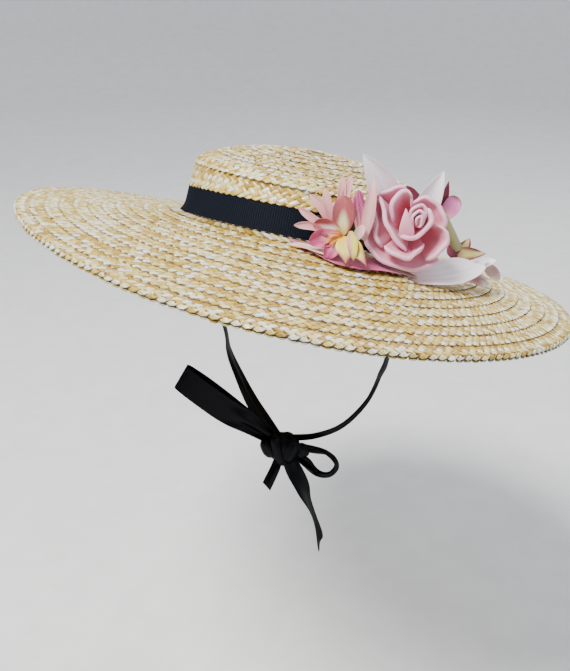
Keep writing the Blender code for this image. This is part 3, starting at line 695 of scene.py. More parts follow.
def ribbon_grid(rows, width, steps=8, columns=17, folds=1.5, cup=0.05, slant=0.0):
    """A ribbon along a table's path. Where it is drawn in, the spare width stands in folds along it.

    slant is how much longer one side of a cut end is than the other.
    """
    path = smooth_path(rows, steps)
    middle, across, shown = path[:, :3], unit(path[:, 3:6]), path[:, 6:7]
    run = np.gradient(middle, axis=0)
    normal = unit(np.cross(across, run))
    u = np.linspace(-0.5, 0.5, columns)[None]
    spare = np.maximum((width / np.minimum(shown, width)) ** 2 - 1.0, 0.0)
    depth = np.minimum(shown / (2 * math.pi * folds) * np.sqrt(2 * spare), DEEPEST_FOLD)
    wave = depth * np.sin(2 * math.pi * folds * u + FOLD_PHASE) + cup * shown * (4 * u * u - 0.5)
    grid = middle[:, None] + across[:, None] * (u * shown)[..., None] + normal[:, None] * wave[..., None]
    ends = np.linspace(0.0, 1.0, len(path))[:, None] ** 6
    return grid + unit(run)[:, None] * (slant * u * ends)[..., None]


def grid_uv(grid):
    """Distances across and along a grid, in its own units."""
    across = np.linalg.norm(np.diff(grid, axis=1), axis=2)
    along = np.linalg.norm(np.diff(grid, axis=0), axis=2)
    u = np.pad(np.cumsum(across, axis=1), ((0, 0), (1, 0)))
    v = np.pad(np.cumsum(along, axis=0), ((1, 0), (0, 0)))
    return np.stack((u, v), -1)


def ribbon_piece(name, rows, settings, finish, rests_on, **shape):
    """One satin ribbon, in place of its solid, at the width it was cut to."""
    width = settings.width / MM
    grid = ribbon_grid(rows, width, **shape)
    parts = Parts()
    parts.add_shell(grid, settings.thickness / MM, settings.satin, grid_uv(grid), 1.0)
    piece = parts.piece(name + "_satin", finish, name, "black_satin", leaning=False)


def knot_grid(at, half, lean):
    """One fold of the knot: a rounded lump, creased from top to bottom."""
    levels = np.linspace(-1.0, 1.0, 15)[:, None]
    turns = np.linspace(0.0, 2 * math.pi, 40, endpoint=False)[None]
    waist = np.maximum(1 - np.abs(levels) ** 2.6, 0.02) ** 0.45
    crease = 1.0 + 0.06 * np.cos(5 * turns + 0.6 + 0.5 * levels) + 0.03 * np.cos(9 * turns + 1.3)
    x = half[0] * waist * crease * np.cos(turns)
    y = half[1] * waist * crease * np.sin(turns)
    z = half[2] * levels + 0.8 * np.sin(2 * turns)
    slope = math.radians(lean)
    turned = (x * math.cos(slope) + z * math.sin(slope), y, z * math.cos(slope) - x * math.sin(slope))
    return np.stack(np.broadcast_arrays(*turned), -1) + np.array(at)


# Flowers


def records(columns, rows):
    """The rows of a table, each with its values under the names of their columns."""
    return [dict(zip(columns, row)) for row in rows]


def petal_uv(grid):
    """Across and along a petal, each from 0 to 1."""
    u, v = petal_share(grid.shape[1], grid.shape[0])
    return np.stack((u / 2 + 0.5, v), -1)


def petal_grid(
    base, tip, face, width, arch=1.5, cup=1.5, neck=0.35, point=2.5, ruffle=0.0, bend=0.0, columns=13, rows=19
):
    """A petal from base to tip with its upper side towards face.

    arch lifts its middle, cup lifts its sides, ruffle waves its border and bend carries its middle sideways.
    point is how late it narrows to its tip, and 0 gives it a round end.
    """
    base, tip = np.array(base, float), np.array(tip, float)
    run = tip - base
    across = unit(np.cross(run, np.array(face, float)))
    up = unit(np.cross(across, run))
    u, v = petal_share(columns, rows)
    swell = neck + (1 - neck) * np.sin(np.minimum(v / 0.45, 1.0) * math.pi / 2)
    end = 1 - v**point if point else np.sqrt(np.clip(1 - np.maximum((v - 0.5) / 0.5, 0.0) ** 2.4, 0.0, 1.0))
    half = width / 2 * np.maximum(swell * end, 0.02)
    rise = 4 * arch * v * (1 - v) + cup * u * u * v * half / (width / 2)
    rise = rise + ruffle * u * u * v * np.sin(7.0 * v + 2.0 * u)
    side = u * half + bend * 4 * v * (1 - v)
    return base + run * v[..., None] + across * side[..., None] + up * rise[..., None]


def blend(a, b, share):
    share = np.clip(share, 0.0, 1.0)[..., None]
    return np.array(a) * (1 - share) + np.array(b) * share


def petal_share(columns=13, rows=19):
    """How far each point of a petal's grid is across, from -1 to 1, and along, from 0 to 1."""
    u = np.linspace(-1.0, 1.0, columns)[None]
    v = 1.0 - (1.0 - np.linspace(0.0, 1.0, rows)[:, None]) ** 1.3
    return np.broadcast_arrays(u, v)


# Any direction that no stalk runs in, and how far a stalk narrows at its ends
STALK_SIDE = (0.3, 0.9, 0.2)
STALK_END = 0.05


def rod(start, end, radius_start, radius_end, sides=8, rings=5, sag=0.0):
    """Rings of a tapered stalk between two points, closed to a point at each end."""
    start, end = np.array(start, float), np.array(end, float)
    run = end - start
    side = unit(np.cross(run, STALK_SIDE))
    up = unit(np.cross(side, run))
    turns = np.linspace(0.0, 2 * math.pi, sides, endpoint=False)
    grid = []
    for i, share in enumerate(np.linspace(0.0, 1.0, rings)):
        radius = radius_start + (radius_end - radius_start) * share
        radius *= STALK_END if i in (0, rings - 1) else 1.0
        middle = start + run * share + up * sag * 4 * share * (1 - share)
        grid.append([middle + radius * (side * math.cos(a) + up * math.sin(a)) for a in turns])
    return np.array(grid)


def stem_grid(places, radius_start, radius_end, sides=12):
    """Rings of a stem that follows a smooth curve through some places."""
    path = smooth_path(places, 6)
    run = np.gradient(path, axis=0)
    side = unit(np.cross(run, STALK_SIDE))
    up = unit(np.cross(side, run))
    radius = np.linspace(radius_start, radius_end, len(path))
    radius[[0, -1]] *= STALK_END
    turns = np.linspace(0.0, 2 * math.pi, sides, endpoint=False)[None, :, None]
    around = side[:, None] * np.cos(turns) + up[:, None] * np.sin(turns)
    return path[:, None] + around * radius[:, None, None]


def add_tube(parts, grid, tint):
    """A closed tube from rings of points."""
    rings, sides = grid.shape[:2]
    around = np.arange(sides)[None]
    caps = np.concatenate((around[:, ::-1], around + (rings - 1) * sides))
    parts.add(grid.reshape(-1, 3), (grid_faces(rings, sides, wrap=True), caps), tint)


FRONT = (0.1, -1.0, 0.1)

# The photograph's own directions, in the hat's axes: right, up and out towards the camera
CAMERA_TILT = 25.0
RISE, REACH = math.sin(math.radians(CAMERA_TILT)), math.cos(math.radians(CAMERA_TILT))
SEEN = np.array(((1.0, 0.0, 0.0), (0.0, RISE, REACH), (0.0, -REACH, RISE))) @ LEAN


def seen(origin, offset):
    """A place at (right, up, out) from an origin as the photograph shows it, in the hat's axes."""
    return np.array(origin) + np.asarray(offset, float) @ SEEN


# Narrow petals behind the lily
ASTER_HEART = (22.5, -109.0, 9.0)
ASTER_STEM = ((20.0, -101.5, 10.0), (22.5, -111.0, 9.0), 5.5, 6.5)
ASTER_COLUMNS = ("tip", "width", "bend")
ASTER_PETALS = (
    ((-4.0, -109.5, 8.2), 5.2, 1.2),
    ((-3.5, -108.5, 19.5), 5.2, -1.0),
    ((2.0, -107.0, 29.0), 5.8, 1.0),
    ((10.5, -106.0, 34.5), 5.6, -0.8),
    ((20.0, -105.0, 44.0), 5.2, 0.6),
    ((25.5, -104.5, 45.2), 5.4, -0.6),
    ((31.5, -106.5, 36.0), 5.6, 0.8),
)

# Lily: places of each petal's foot and tip from its heart, as the photograph shows them
LILY_HEART = (26.6, -116.5, 8.3)
LILY_STEM_FOOT = (22.5, -111.2, 7.5)
STAMEN_ROOT = (0.5, -0.5, 2.0)
LILY_COLUMNS = ("foot", "reach", "width", "arch", "cup", "ruffle", "point", "kind")
LILY_PETALS = (
    ((13.0, -3.5, 3.0), (20.0, 35.0, 1.0), 8.6, 2.5, 1.5, 0.9, 3.0, "peach"),
    ((10.0, 0.5, 1.5), (9.8, 27.4, 2.0), 7.0, 1.0, 1.5, 1.6, 0, "speckled"),
    ((0.0, 0.0, 0.0), (0.6, 23.8, 4.0), 13.5, 2.0, 2.5, 1.6, 0, "upper"),
    ((0.0, 0.0, 0.0), (-17.8, 7.0, 5.0), 10.5, 1.8, 2.5, 1.8, 0, "side"),
    ((0.0, -1.0, 1.0), (-20.8, -4.0, 7.0), 11.5, 1.5, 2.0, 2.8, 0, "magenta"),
    ((-1.0, -2.0, 2.0), (-11.5, -14.5, 8.5), 10.5, 1.0, 1.5, 2.6, 0, "magenta"),
    ((0.0, -1.0, 2.0), (1.0, -19.5, 13.0), 10.5, 1.5, 2.0, 2.6, 3.4, "throat"),
    ((2.5, -1.0, 2.0), (13.5, -20.5, 13.5), 9.5, 1.5, 2.5, 2.8, 3.0, "throat"),
    ((5.0, 2.0, 4.0), (5.5, -16.5, 13.0), 6.5, 1.5, 2.0, 1.6, 0, "tongue"),
    ((7.0, -4.0, 4.0), (12.6, 5.0, 7.0), 5.8, 1.5, 1.5, 0.8, 0, "pale"),
)
STAMENS = ((-12.0, -6.5, 9.5), (-10.0, -3.0, 9.0), (-8.0, 0.2, 9.5), (-4.6, 2.4, 8.5), (-8.4, -7.0, 10.0))
LYING_PETAL = ((-6.0, -12.5, 4.5), (-32.5, -5.2, -1.5))

# Rose: each petal's rolled edge as (right, up, out) places from its heart, as the photograph shows them
ROSE_HEART = (64.5, -108.0, 20.0)
ROSE_BUD = (6.0, 3.5)
ROSE_PETALS = (
    (0.7, ((-20.0, 8.0, -1.0), (-21.0, 17.0, 0.0), (-13.0, 21.5, 1.0), (-3.0, 23.5, 1.0), (3.0, 21.0, 0.0))),
    (0.7, ((12.0, 15.5, 0.0), (19.0, 13.0, 1.0), (23.0, 5.0, 1.0), (23.5, -7.0, 0.5), (20.0, -17.0, 0.0))),
    (0.9, ((-24.0, 2.5, 1.0), (-25.0, -6.5, 2.5), (-20.7, -15.3, 2.5), (-12.3, -21.9, 2.5), (0.7, -25.8, 2.5),
           (12.0, -24.8, 2.0), (22.0, -20.5, 1.0))),
    (0.9, ((-17.5, 20.0, 2.5), (-10.5, 22.5, 3.5), (-3.0, 25.0, 3.5), (0.5, 24.6, 3.0))),
    (0.9, ((-21.6, 22.5, 4.0), (-20.2, 12.7, 5.5), (-18.6, 0.6, 5.5), (-18.9, -6.9, 5.0), (-15.0, -12.5, 4.0))),
    (1.0, ((3.5, 15.0, 4.0), (10.1, 17.9, 5.0), (15.5, 16.4, 5.0), (20.6, 11.8, 4.5), (24.1, 4.3, 4.0),
           (23.2, -3.2, 3.0))),
    (1.1, ((14.8, 2.0, 5.0), (21.0, -0.6, 7.0), (24.8, -5.0, 7.0), (24.2, -10.4, 7.0), (18.8, -16.9, 7.0),
           (12.4, -21.2, 5.5))),
    (1.0, ((-16.8, 19.3, 7.0), (-14.6, 10.8, 9.0), (-12.5, 0.6, 9.5), (-7.9, -7.2, 9.5), (-0.5, -15.8, 8.0))),
    (1.0, ((-14.2, -12.6, 8.5), (-7.7, -17.7, 10.5), (0.7, -20.0, 10.5), (5.2, -16.6, 10.5), (11.0, -12.1, 9.0))),
    (1.1, ((-9.1, 3.0, 8.5), (-9.6, 11.8, 10.5), (-6.2, 18.6, 11.0), (-0.4, 21.0, 10.5), (2.6, 17.5, 10.0),
           (2.4, 13.6, 9.0))),
    (1.0, ((-5.4, -5.2, 10.5), (-0.2, -8.1, 12.5), (7.3, -5.8, 13.0), (13.6, 1.5, 13.0), (13.6, 7.6, 12.5),
           (10.2, 11.0, 11.0))),
    (0.6, ((-0.2, 3.6, 11.5), (2.6, 9.2, 13.0), (7.6, 12.2, 13.5), (11.0, 8.6, 13.0), (11.0, 3.5, 11.5))),
    (0.5, ((2.6, -2.0, 13.0), (2.6, 5.0, 15.0), (6.2, 8.2, 15.5), (9.4, 5.2, 15.0), (8.6, -1.0, 13.5))),
    (0.4, ((4.6, -1.0, 15.0), (4.8, 3.6, 16.5), (7.2, 4.6, 16.5), (7.8, 0.5, 16.0), (6.0, -1.8, 15.0))),
)
ROSE_POINT = ((-0.6, -6.5, 10.0), (-1.6, 9.9, 14.0))
# The core, from the heart, and the stem: start, end and the radius at each
ROSE_CORE = ((6.2, 2.0, 5.0), (6.3, 2.6, 16.2), 3.4, 2.0)
ROSE_STEM = ((51.0, -90.0, 15.0), (63.0, -106.0, 18.0), 5.0, 5.5)
FOAM_GRAIN, FOAM_EDGE = 0.2, 0.6
# Where along a rose petal its edge starts to roll, how far round it rolls, and how wide the petal's foot is
ROLL_FROM, ROLL_TURN, ROSE_FOOT = 0.72, 215.0, 0.22

ORCHID_COLUMNS = ("base", "tip", "face", "width", "arch", "cup", "neck", "point", "kind")
ORCHID_PETALS = (
    ((78.0, -66.0, 34.0), (61.5, -70.0, 45.5), FRONT, 9.0, 1.5, 1.5, 0.6, 0, "plum"),
    ((89.5, -65.5, 28.0), (90.6, -69.0, 55.0), FRONT, 8.0, 1.0, 0.8, 0.6, 2.4, "plum"),
    ((92.0, -71.0, 30.0), (98.6, -66.5, 46.2), FRONT, 11.6, 1.5, 2.0, 0.45, 0, "bright"),
    ((109.5, -62.0, 9.0), (100.5, -63.5, 13.2), FRONT, 11.5, 1.0, 1.5, 0.7, 0, "cup"),
    ((109.5, -61.0, 9.5), (114.2, -61.0, 20.6), FRONT, 10.5, 1.0, 1.5, 0.7, 2.2, "lip"),
    ((108.0, -63.0, 9.0), (126.6, -63.0, 12.9), FRONT, 10.5, 1.5, 2.0, 0.8, 2.0, "lip"),
)
ORCHID_STALK = ((89.5, -73.0, 33.0), (95.0, -69.5, 27.0), (101.0, -65.5, 20.0), (108.5, -60.0, 11.0))

LEAF_COLUMNS = ("node", "base", "tip", "face", "width", "arch", "cup", "neck", "point", "ruffle", "bend")
LEAF_GRID, LONG_LEAF_GRID = {"columns": 17, "rows": 29}, {"columns": 11, "rows": 41}
LEAVES = (
    ("leaf_tall", (61.0, -90.0, 14.0), (29.6, -107.0, 59.6), FRONT, 25.0, 2.0, 5.0, 0.6, 3.0, 1.0, 2.6),
    ("leaf_folded", (76.5, -69.0, 14.0), (85.4, -74.5, 60.5), FRONT, 18.5, 2.5, 6.0, 0.4, 3.2, 0.5, -2.0),
    ("leaf_lying", (74.0, -106.0, -10.4), (126.6, -64.5, 5.2), (0.2, -0.45, 1.0), 23.5, 2.0, 4.5, 0.5, 5.5, 1.8, 4.8),
    ("leaf_small", (118.0, -50.0, -2.0), (136.0, -58.5, 9.2), (0.3, -0.7, 0.7), 8.5, 1.5, 2.5, 0.5, 0, 0.8, 1.0),
)
BUD_TIPS = (
    (132.0, -63.0, -3.0),
    (135.2, -66.5, -6.6),
    (130.4, -70.0, -9.0),
    (134.4, -61.0, -4.0),
    (132.0, -68.0, -7.2),
)
BUD_FACE = (0.1, -0.8, 0.6)
BUD_FOOT = (114.5, -62.0, -6.4)
HANGING_PETAL = ((129.0, -51.0, 6.0), (142.0, -53.0, -3.4))

# Long leaf on the brim: azimuth and share of the brim's width along its middle, its width there and its lift
LONG_LEAF = (
    (-93.0, 0.08, 1.0, 1.8),
    (-86.0, 0.13, 12.0, 2.2),
    (-78.0, 0.185, 20.0, 2.0),
    (-70.0, 0.21, 22.0, 2.4),
    (-62.0, 0.225, 18.0, 2.6),
    (-55.0, 0.26, 8.0, 2.2),
    (-50.0, 0.31, 1.0, 1.8),
)


def rose_petal(lip, edge, low=-5.0, rows=17):
    """One foam petal of the rose: it rises from round the bud to its edge, where it rolls outwards."""
    edge = smooth_path(edge, 6)
    ends = np.linspace(-1.0, 1.0, len(edge))[:, None] ** 6
    way = np.arange(len(edge))[:, None]
    edge[:, 2:] += 0.35 * np.sin(0.55 * way + 5.0 * lip + edge[0, 0]) - 3.0 * ends
    bud = np.array(ROSE_BUD)
    outward = unit(edge[:, :2] - bud)
    edge[:, :2] += outward * (0.3 * np.sin(0.7 * way + edge[0, 1]) - ends)
    lip = lip * (1.0 - 0.6 * ends)
    foot = bud + (edge[:, :2] - bud) * ROSE_FOOT
    top = edge[:, :2] - outward * lip
    grid = []
    for v in np.linspace(0.0, 1.0, rows):
        climb = min(v / ROLL_FROM, 1.0)
        roll = max(v - ROLL_FROM, 0.0) / (1.0 - ROLL_FROM) * math.radians(ROLL_TURN)
        place = foot + (top - foot) * (1 - (1 - climb) ** 1.5) + outward * lip * (1 - math.cos(roll))
        height = low + (edge[:, 2] - low) * climb**1.4 + lip[:, 0] * math.sin(roll)
        grid.append(np.column_stack((place, height)))
    return seen(ROSE_HEART, np.array(grid))


def lily_tint(settings, kind):
    """A lily petal's colours: from its foot to its middle, and from there to its border."""
    u, v = petal_share()
    edge = np.clip(np.abs(u) ** 1.5 * 0.8 + v * 1.1 - 0.35, 0.0, 1.0)
    specks = 0.5 + 0.5 * np.sin(23 * v + 9 * u) * np.sin(17 * u + 31 * v)
    lime, mauve, dusty, magenta = settings.lime, settings.mauve, settings.dusty, settings.magenta
    middle, border, share = {
        "upper": (blend(lime, (0.86, 0.80, 0.50), v * 2.2), mauve, edge * 3.0 - 0.3),
        "side": (blend(lime, (0.86, 0.74, 0.62), v * 2.5), mauve, edge * 2.2 - 0.35),
        "magenta": (blend((0.82, 0.66, 0.24), (0.84, 0.55, 0.45), v * 2), magenta, edge * 2.2 - 0.1),
        "throat": (blend((0.86, 0.58, 0.04), lime, v * 1.1), mauve, (v - 0.62) * 2.6 + 0.7 * np.abs(u) ** 2 * v),
        "peach": (blend((0.76, 0.42, 0.40), dusty, np.abs(u) ** 2 * 1.2), (0.84, 0.58, 0.46), (v - 0.8) * 3),
        "pale": (blend((0.86, 0.74, 0.50), (0.84, 0.50, 0.52), v * 1.6), dusty, 0.0 * v),
        "tongue": (blend((0.66, 0.58, 0.10), dusty, u * 2 - 0.2), mauve, (v - 0.7) * 1.6),
        "speckled": (blend((0.80, 0.46, 0.26), magenta, v * 1.4), (0.22, 0.02, 0.14), specks**2 * 1.8),
    }[kind]
    return blend(middle, border, share)


def orchid_tint(settings, kind):
    """An orchid petal's colours, which end in plum."""
    u, v = petal_share()
    rim = np.maximum(np.abs(u) * 2.4 - 0.9, np.maximum((v - 0.88) * 8, 0.9 - 3.0 * v))
    middle, share = {
        "plum": (settings.magenta, 0.55 + v),
        "bright": (blend((0.76, 0.45, 0.42), (0.60, 0.16, 0.38), v * 2.4), (v - 0.78) * 5 + 0.6 * np.abs(u) ** 5),
        "cup": ((0.09, 0.008, 0.02), v * 1.6 - 0.6),
        "lip": (blend((0.46, 0.46, 0.14), (0.80, 0.42, 0.28), (v - 0.6) * 3), rim),
    }[kind]
    return blend(middle, settings.plum, share)


def long_leaf_grid(columns, rows):
    table = np.array(LONG_LEAF)
    where = np.linspace(0, len(table) - 1, rows)
    azimuth, share, width, lift = (np.interp(where, range(len(table)), table[:, k]) for k in range(4))
    u = np.linspace(-1.0, 1.0, columns)[None]
    across = share[:, None] + u * (width / 2 / (BRIM_X - OPENING_X))[:, None]
    turn = np.radians(azimuth)[:, None] + 0.0 * u
    above = lift[:, None] + 1.2 * u * u + 0.5 * np.sin(where * 2.1)[:, None] * u
    return brim_surface(turn, across, above)


# Making the pieces


def settings_of(context, group):
    return getattr(context.scene, "sun_hat_" + group)


def give_finish(node, finish):
    """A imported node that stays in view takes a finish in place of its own."""
    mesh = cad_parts[node].data
    mesh.materials.clear()
    mesh.materials.append(finish)


class PlaitCrown(bpy.types.Operator):
    """Plait the crown's rows inside and out"""

    bl_idname = "sun_hat.plait_crown"
    bl_label = "Plait Crown"

    def execute(self, context):
        straw = settings_of(context, "straw")
        splint, step = straw.splint / MM, straw.step / MM
        rows = Straws(straw, 11)
        rows.row(*profile_row(*BROAD_ROW), straw.crown_splint / MM, tuck=0.5)
        rows.row(*profile_row(*ROW_OVER_BAND), splint, tuck=0.0, past=1.0)
        for start, end in pairwise(tip_places(straw.tip_rows)):
            rows.row(*profile_row(start, end, step), splint)
        rows.row(*profile_row(*SHOULDER_ROW), splint, tuck=1.0, past=1.2)
        rows.piece("crown_plait", straw_finish())
        inside = Straws(straw, 12)
        for start, end in pairwise(INSIDE_WALL):
            inside.row(*profile_row(start, end), splint, facing=-1)
        inside.row(*profile_row(*INSIDE_CORNER_ROW), splint, tuck=1.0, past=1.0, facing=-1)
        for start, end in pairwise(tip_places(straw.tip_rows, STRAW_THICK + TIP_GAP)):
            inside.row(*profile_row(start, end), splint, facing=-1)
        inside.piece("crown_plait_inside", bpy.data.materials["straw_splints"])
        give_finish("crown", straw_shadow_finish(straw.shadow))
        return {"FINISHED"}


class PlaitBrim(bpy.types.Operator):
    """Plait the brim's rows on top and underneath"""

    bl_idname = "sun_hat.plait_brim"
    bl_label = "Plait Brim"

    def execute(self, context):
        straw = settings_of(context, "straw")
        splint = straw.splint / MM
        top, under = Straws(straw, 21), Straws(straw, 22)
        for row in range(straw.brim_rows):
            last = row == straw.brim_rows - 1
            form = brim_row(straw, row, BRIM_TOP, 1, turned=last)
            if row == 0:
                top.slats(*form, straw.slat / MM)
            elif last:
                top.row(*form, splint, edge=-1.4, past=3.0)
            else:
                top.row(*form, splint)
            under.row(*brim_row(straw, row, BRIM_UNDER, -1), splint, past=0.3 if last else 1.6, facing=-1)
        top.piece("brim_plait", bpy.data.materials["straw_splints"])
        under.piece("brim_plait_underside", bpy.data.materials["straw_splints"])
        give_finish("brim", bpy.data.materials["straw_shadow"])
        return {"FINISHED"}


class WrapBand(bpy.types.Operator):
    """Wrap the ribbed band round the foot of the crown"""

    bl_idname = "sun_hat.wrap_band"
    bl_label = "Wrap Band"

    def execute(self, context):
        ribbon = settings_of(context, "ribbon")
        length = oval_length(OPENING_X, OPENING_Y)
        ribs = round(length * MM / ribbon.rib)
        shares = np.linspace(0.0, 1.0, ribs * 2, endpoint=False)[None]
        turn = oval_turn(shares, OPENING_X, OPENING_Y)
        rise = np.linspace(0.0, BAND_WIDTH, 9)[:, None]
        off = (np.degrees(turn) - BAND_FLARE_AT + 180.0) % 360.0 - 180.0
        low = np.maximum(0.0, 1.0 - rise / BAND_FLARE_HEIGHT) ** 2
        flare = BAND_FLARE * np.exp(-((off / BAND_FLARE_SPREAD) ** 2)) * low
        rib = RIB_HEIGHT * np.where(np.arange(ribs * 2) % 2, 1.0, -1.0)[None]
        outer = self.wall(turn, BAND_OUTSIDE + rib + flare, BAND_FOOT + rise)
        inner = self.wall(turn, np.full_like(rib, BAND_INSIDE) + flare, BAND_FOOT + rise)
        rings = np.concatenate((outer, inner[::-1]))
        quads = grid_faces(len(rings) + 1, rings.shape[1], wrap=True) % (len(rings) * rings.shape[1])
        along = np.broadcast_to(shares * length, rings.shape[:2])
        # Painted shade: the tint darkens the grooves between the ribs
        groove_shade = np.broadcast_to((1.0 + 0.75 * np.sign(rib))[..., None], rings.shape) * 0.6
        uv = np.stack((rings[..., 2], along), -1)
        parts = Parts()
        parts.add(rings.reshape(-1, 3), quads, groove_shade.reshape(-1, 3), uv.reshape(-1, 2))
        finish = band_finish(ribbon.band)
        band = parts.piece("hat_band_grosgrain", finish, "hat_band", "black_grosgrain", sharp=60.0)
        return {"FINISHED"}

    @staticmethod
    def wall(turn, off, height):
        inset = BAND_INSET * np.clip(height / BAND_INSET_HEIGHT, 0.0, 1.0)
        point = crown_surface(turn, inset, 0.0 * height)
        normal = np.stack((np.cos(turn) / OPENING_X, np.sin(turn) / OPENING_Y, 0.0 * turn), -1)
        normal /= np.linalg.norm(normal, axis=-1, keepdims=True)
        point = point + normal * np.broadcast_to(off, point.shape[:2])[..., None]
        point[..., 2] = height
        return point


class CutTies(bpy.types.Operator):
    """Cut the satin ties and tie them in a bow"""

    bl_idname = "sun_hat.cut_ties"
    bl_label = "Cut Ties"

    def execute(self, context):
        ribbon = settings_of(context, "ribbon")
        finish = satin_finish(ribbon.satin)
        for name, side, rows in (("tie_left", -1, TIE_LEFT), ("tie_right", 1, TIE_RIGHT)):
            ribbon_piece(name, seam_rows(side, ribbon.width / MM) + list(rows), ribbon, finish, ["crown"])
        for name, rows, shape in (
            ("bow_loop_left", LOOP_LEFT, {"cup": 0.0}),
            ("bow_loop_right", LOOP_RIGHT, {}),
            ("bow_tail_short", TAIL_SHORT, {"folds": 0.4, "slant": 9.0}),
            ("bow_tail_long", TAIL_LONG, {"folds": 0.5, "slant": -4.5}),
        ):
            ribbon_piece(name, rows, ribbon, finish, ["bow_knot_satin"], **shape)
        knot = Parts()
        for fold in KNOT_FOLDS:
            add_tube(knot, knot_grid(*fold), ribbon.satin)
        knot.piece("bow_knot_satin", finish, "bow_knot", "black_satin", leaning=False)
        return {"FINISHED"}


class MakeRose(bpy.types.Operator):
    """Roll the foam rose"""

    bl_idname = "sun_hat.make_rose"
    bl_label = "Make Rose"

    def execute(self, context):
        flowers = settings_of(context, "flowers")
        foam = flowers.foam / MM
        parts = Parts()

        # Petals run from the deep colour at their foot, deep in the rose, to the pale one at their edge: partly the
        # rose's deeper pink, partly painted shade
        def tint(share):
            return blend(flowers.rose_deep_and_shade, flowers.rose_pale, share)

        for lip, edge in ROSE_PETALS:
            grid = rose_petal(lip, edge)
            v = np.broadcast_to(np.linspace(0.0, 1.0, grid.shape[0])[:, None], grid.shape[:2])
            parts.add_shell(grid, foam, tint(v * 1.8 - 0.5), grid_uv(grid) * FOAM_GRAIN, FOAM_EDGE)
        base, tip = (seen(ROSE_HEART, place) for place in ROSE_POINT)
        grid = petal_grid(base, tip, SEEN[2], 11.0, arch=1.2, cup=-1.5, neck=0.8, point=1.5)
        parts.add_petal(grid, foam, tint(0.45 + petal_share()[1] * 0.7), FOAM_EDGE)
        start, end, *radii = ROSE_CORE
        add_tube(parts, rod(seen(ROSE_HEART, start), seen(ROSE_HEART, end), *radii, sides=12), tint(np.array(0.45)))
        add_tube(parts, rod(*ROSE_STEM, sides=12), flowers.rose_deep_and_shade)
        parts.piece("rose_foam", petal_finish("rose_foam", 0.55, vein=0.97, weave=1400.0), "rose", "rose_foam")
        return {"FINISHED"}


class MakeSmallFlowers(bpy.types.Operator):
    """Cut the lily, the aster behind it and the orchid at the side"""

    bl_idname = "sun_hat.make_small_flowers"
    bl_label = "Make Small Flowers"

    def execute(self, context):
        flowers = settings_of(context, "flowers")
        petal = flowers.petal / MM
        self.aster(flowers, petal)
        self.lily(flowers, petal)
        self.orchid(flowers, petal)
        return {"FINISHED"}

    def aster(self, flowers, petal):
        parts = Parts()
        v = petal_share()[1]
        tint = blend(flowers.magenta, blend(flowers.dusty, (0.78, 0.42, 0.40), v * 1.3 - 0.4), 0.5 + v)
        for row in records(ASTER_COLUMNS, ASTER_PETALS):
            grid = petal_grid(ASTER_HEART, face=FRONT, arch=1.0, cup=1.0, neck=0.5, point=9.0, ruffle=0.8, **row)
            parts.add_petal(grid, petal, tint)
        add_tube(parts, rod(*ASTER_STEM, sides=12), flowers.dusty)
        parts.piece("aster_cloth", petal_finish("dusty_petals", 0.6), "aster", "dusty_pink_cloth")

    def lily(self, flowers, petal):
        parts = Parts()
        for row in records(LILY_COLUMNS, LILY_PETALS):
            kind, foot, reach = row.pop("kind"), row.pop("foot"), row.pop("reach")
            grid = petal_grid(seen(LILY_HEART, foot), seen(LILY_HEART, reach), SEEN[2], neck=0.32, **row)
            parts.add_petal(grid, petal, lily_tint(flowers, kind))
        base, tip = (seen(LILY_HEART, place) for place in LYING_PETAL)
        grid = petal_grid(base, tip, (0.0, -0.4, 1.0), 9.5, arch=0.6, cup=1.2, neck=0.6, point=3.0, ruffle=0.8)
        parts.add_petal(grid, petal, lily_tint(flowers, "pale"))
        root = seen(LILY_HEART, STAMEN_ROOT)
        for tip in STAMENS:
            add_tube(parts, rod(root, seen(LILY_HEART, tip), 0.35, 0.85, rings=7, sag=0.8), flowers.stamen)
        add_tube(parts, rod(LILY_STEM_FOOT, LILY_HEART, 3.5, 3.0, sides=12), flowers.lime)
        parts.piece("lily_cloth", petal_finish("lily_cloth", 0.55), "lily", "lily_cloth")

    def orchid(self, flowers, petal):
        parts = Parts()
        for row in records(ORCHID_COLUMNS, ORCHID_PETALS):
            kind = row.pop("kind")
            grid = petal_grid(ruffle=1.6 if kind == "lip" else 0.5, **row)
            parts.add_petal(grid, petal, orchid_tint(flowers, kind))
        add_tube(parts, stem_grid(ORCHID_STALK, 3.4, 3.8), flowers.olive)
        parts.piece("orchid_cloth", petal_finish("orchid_cloth", 0.55), "orchid", "orchid_cloth")


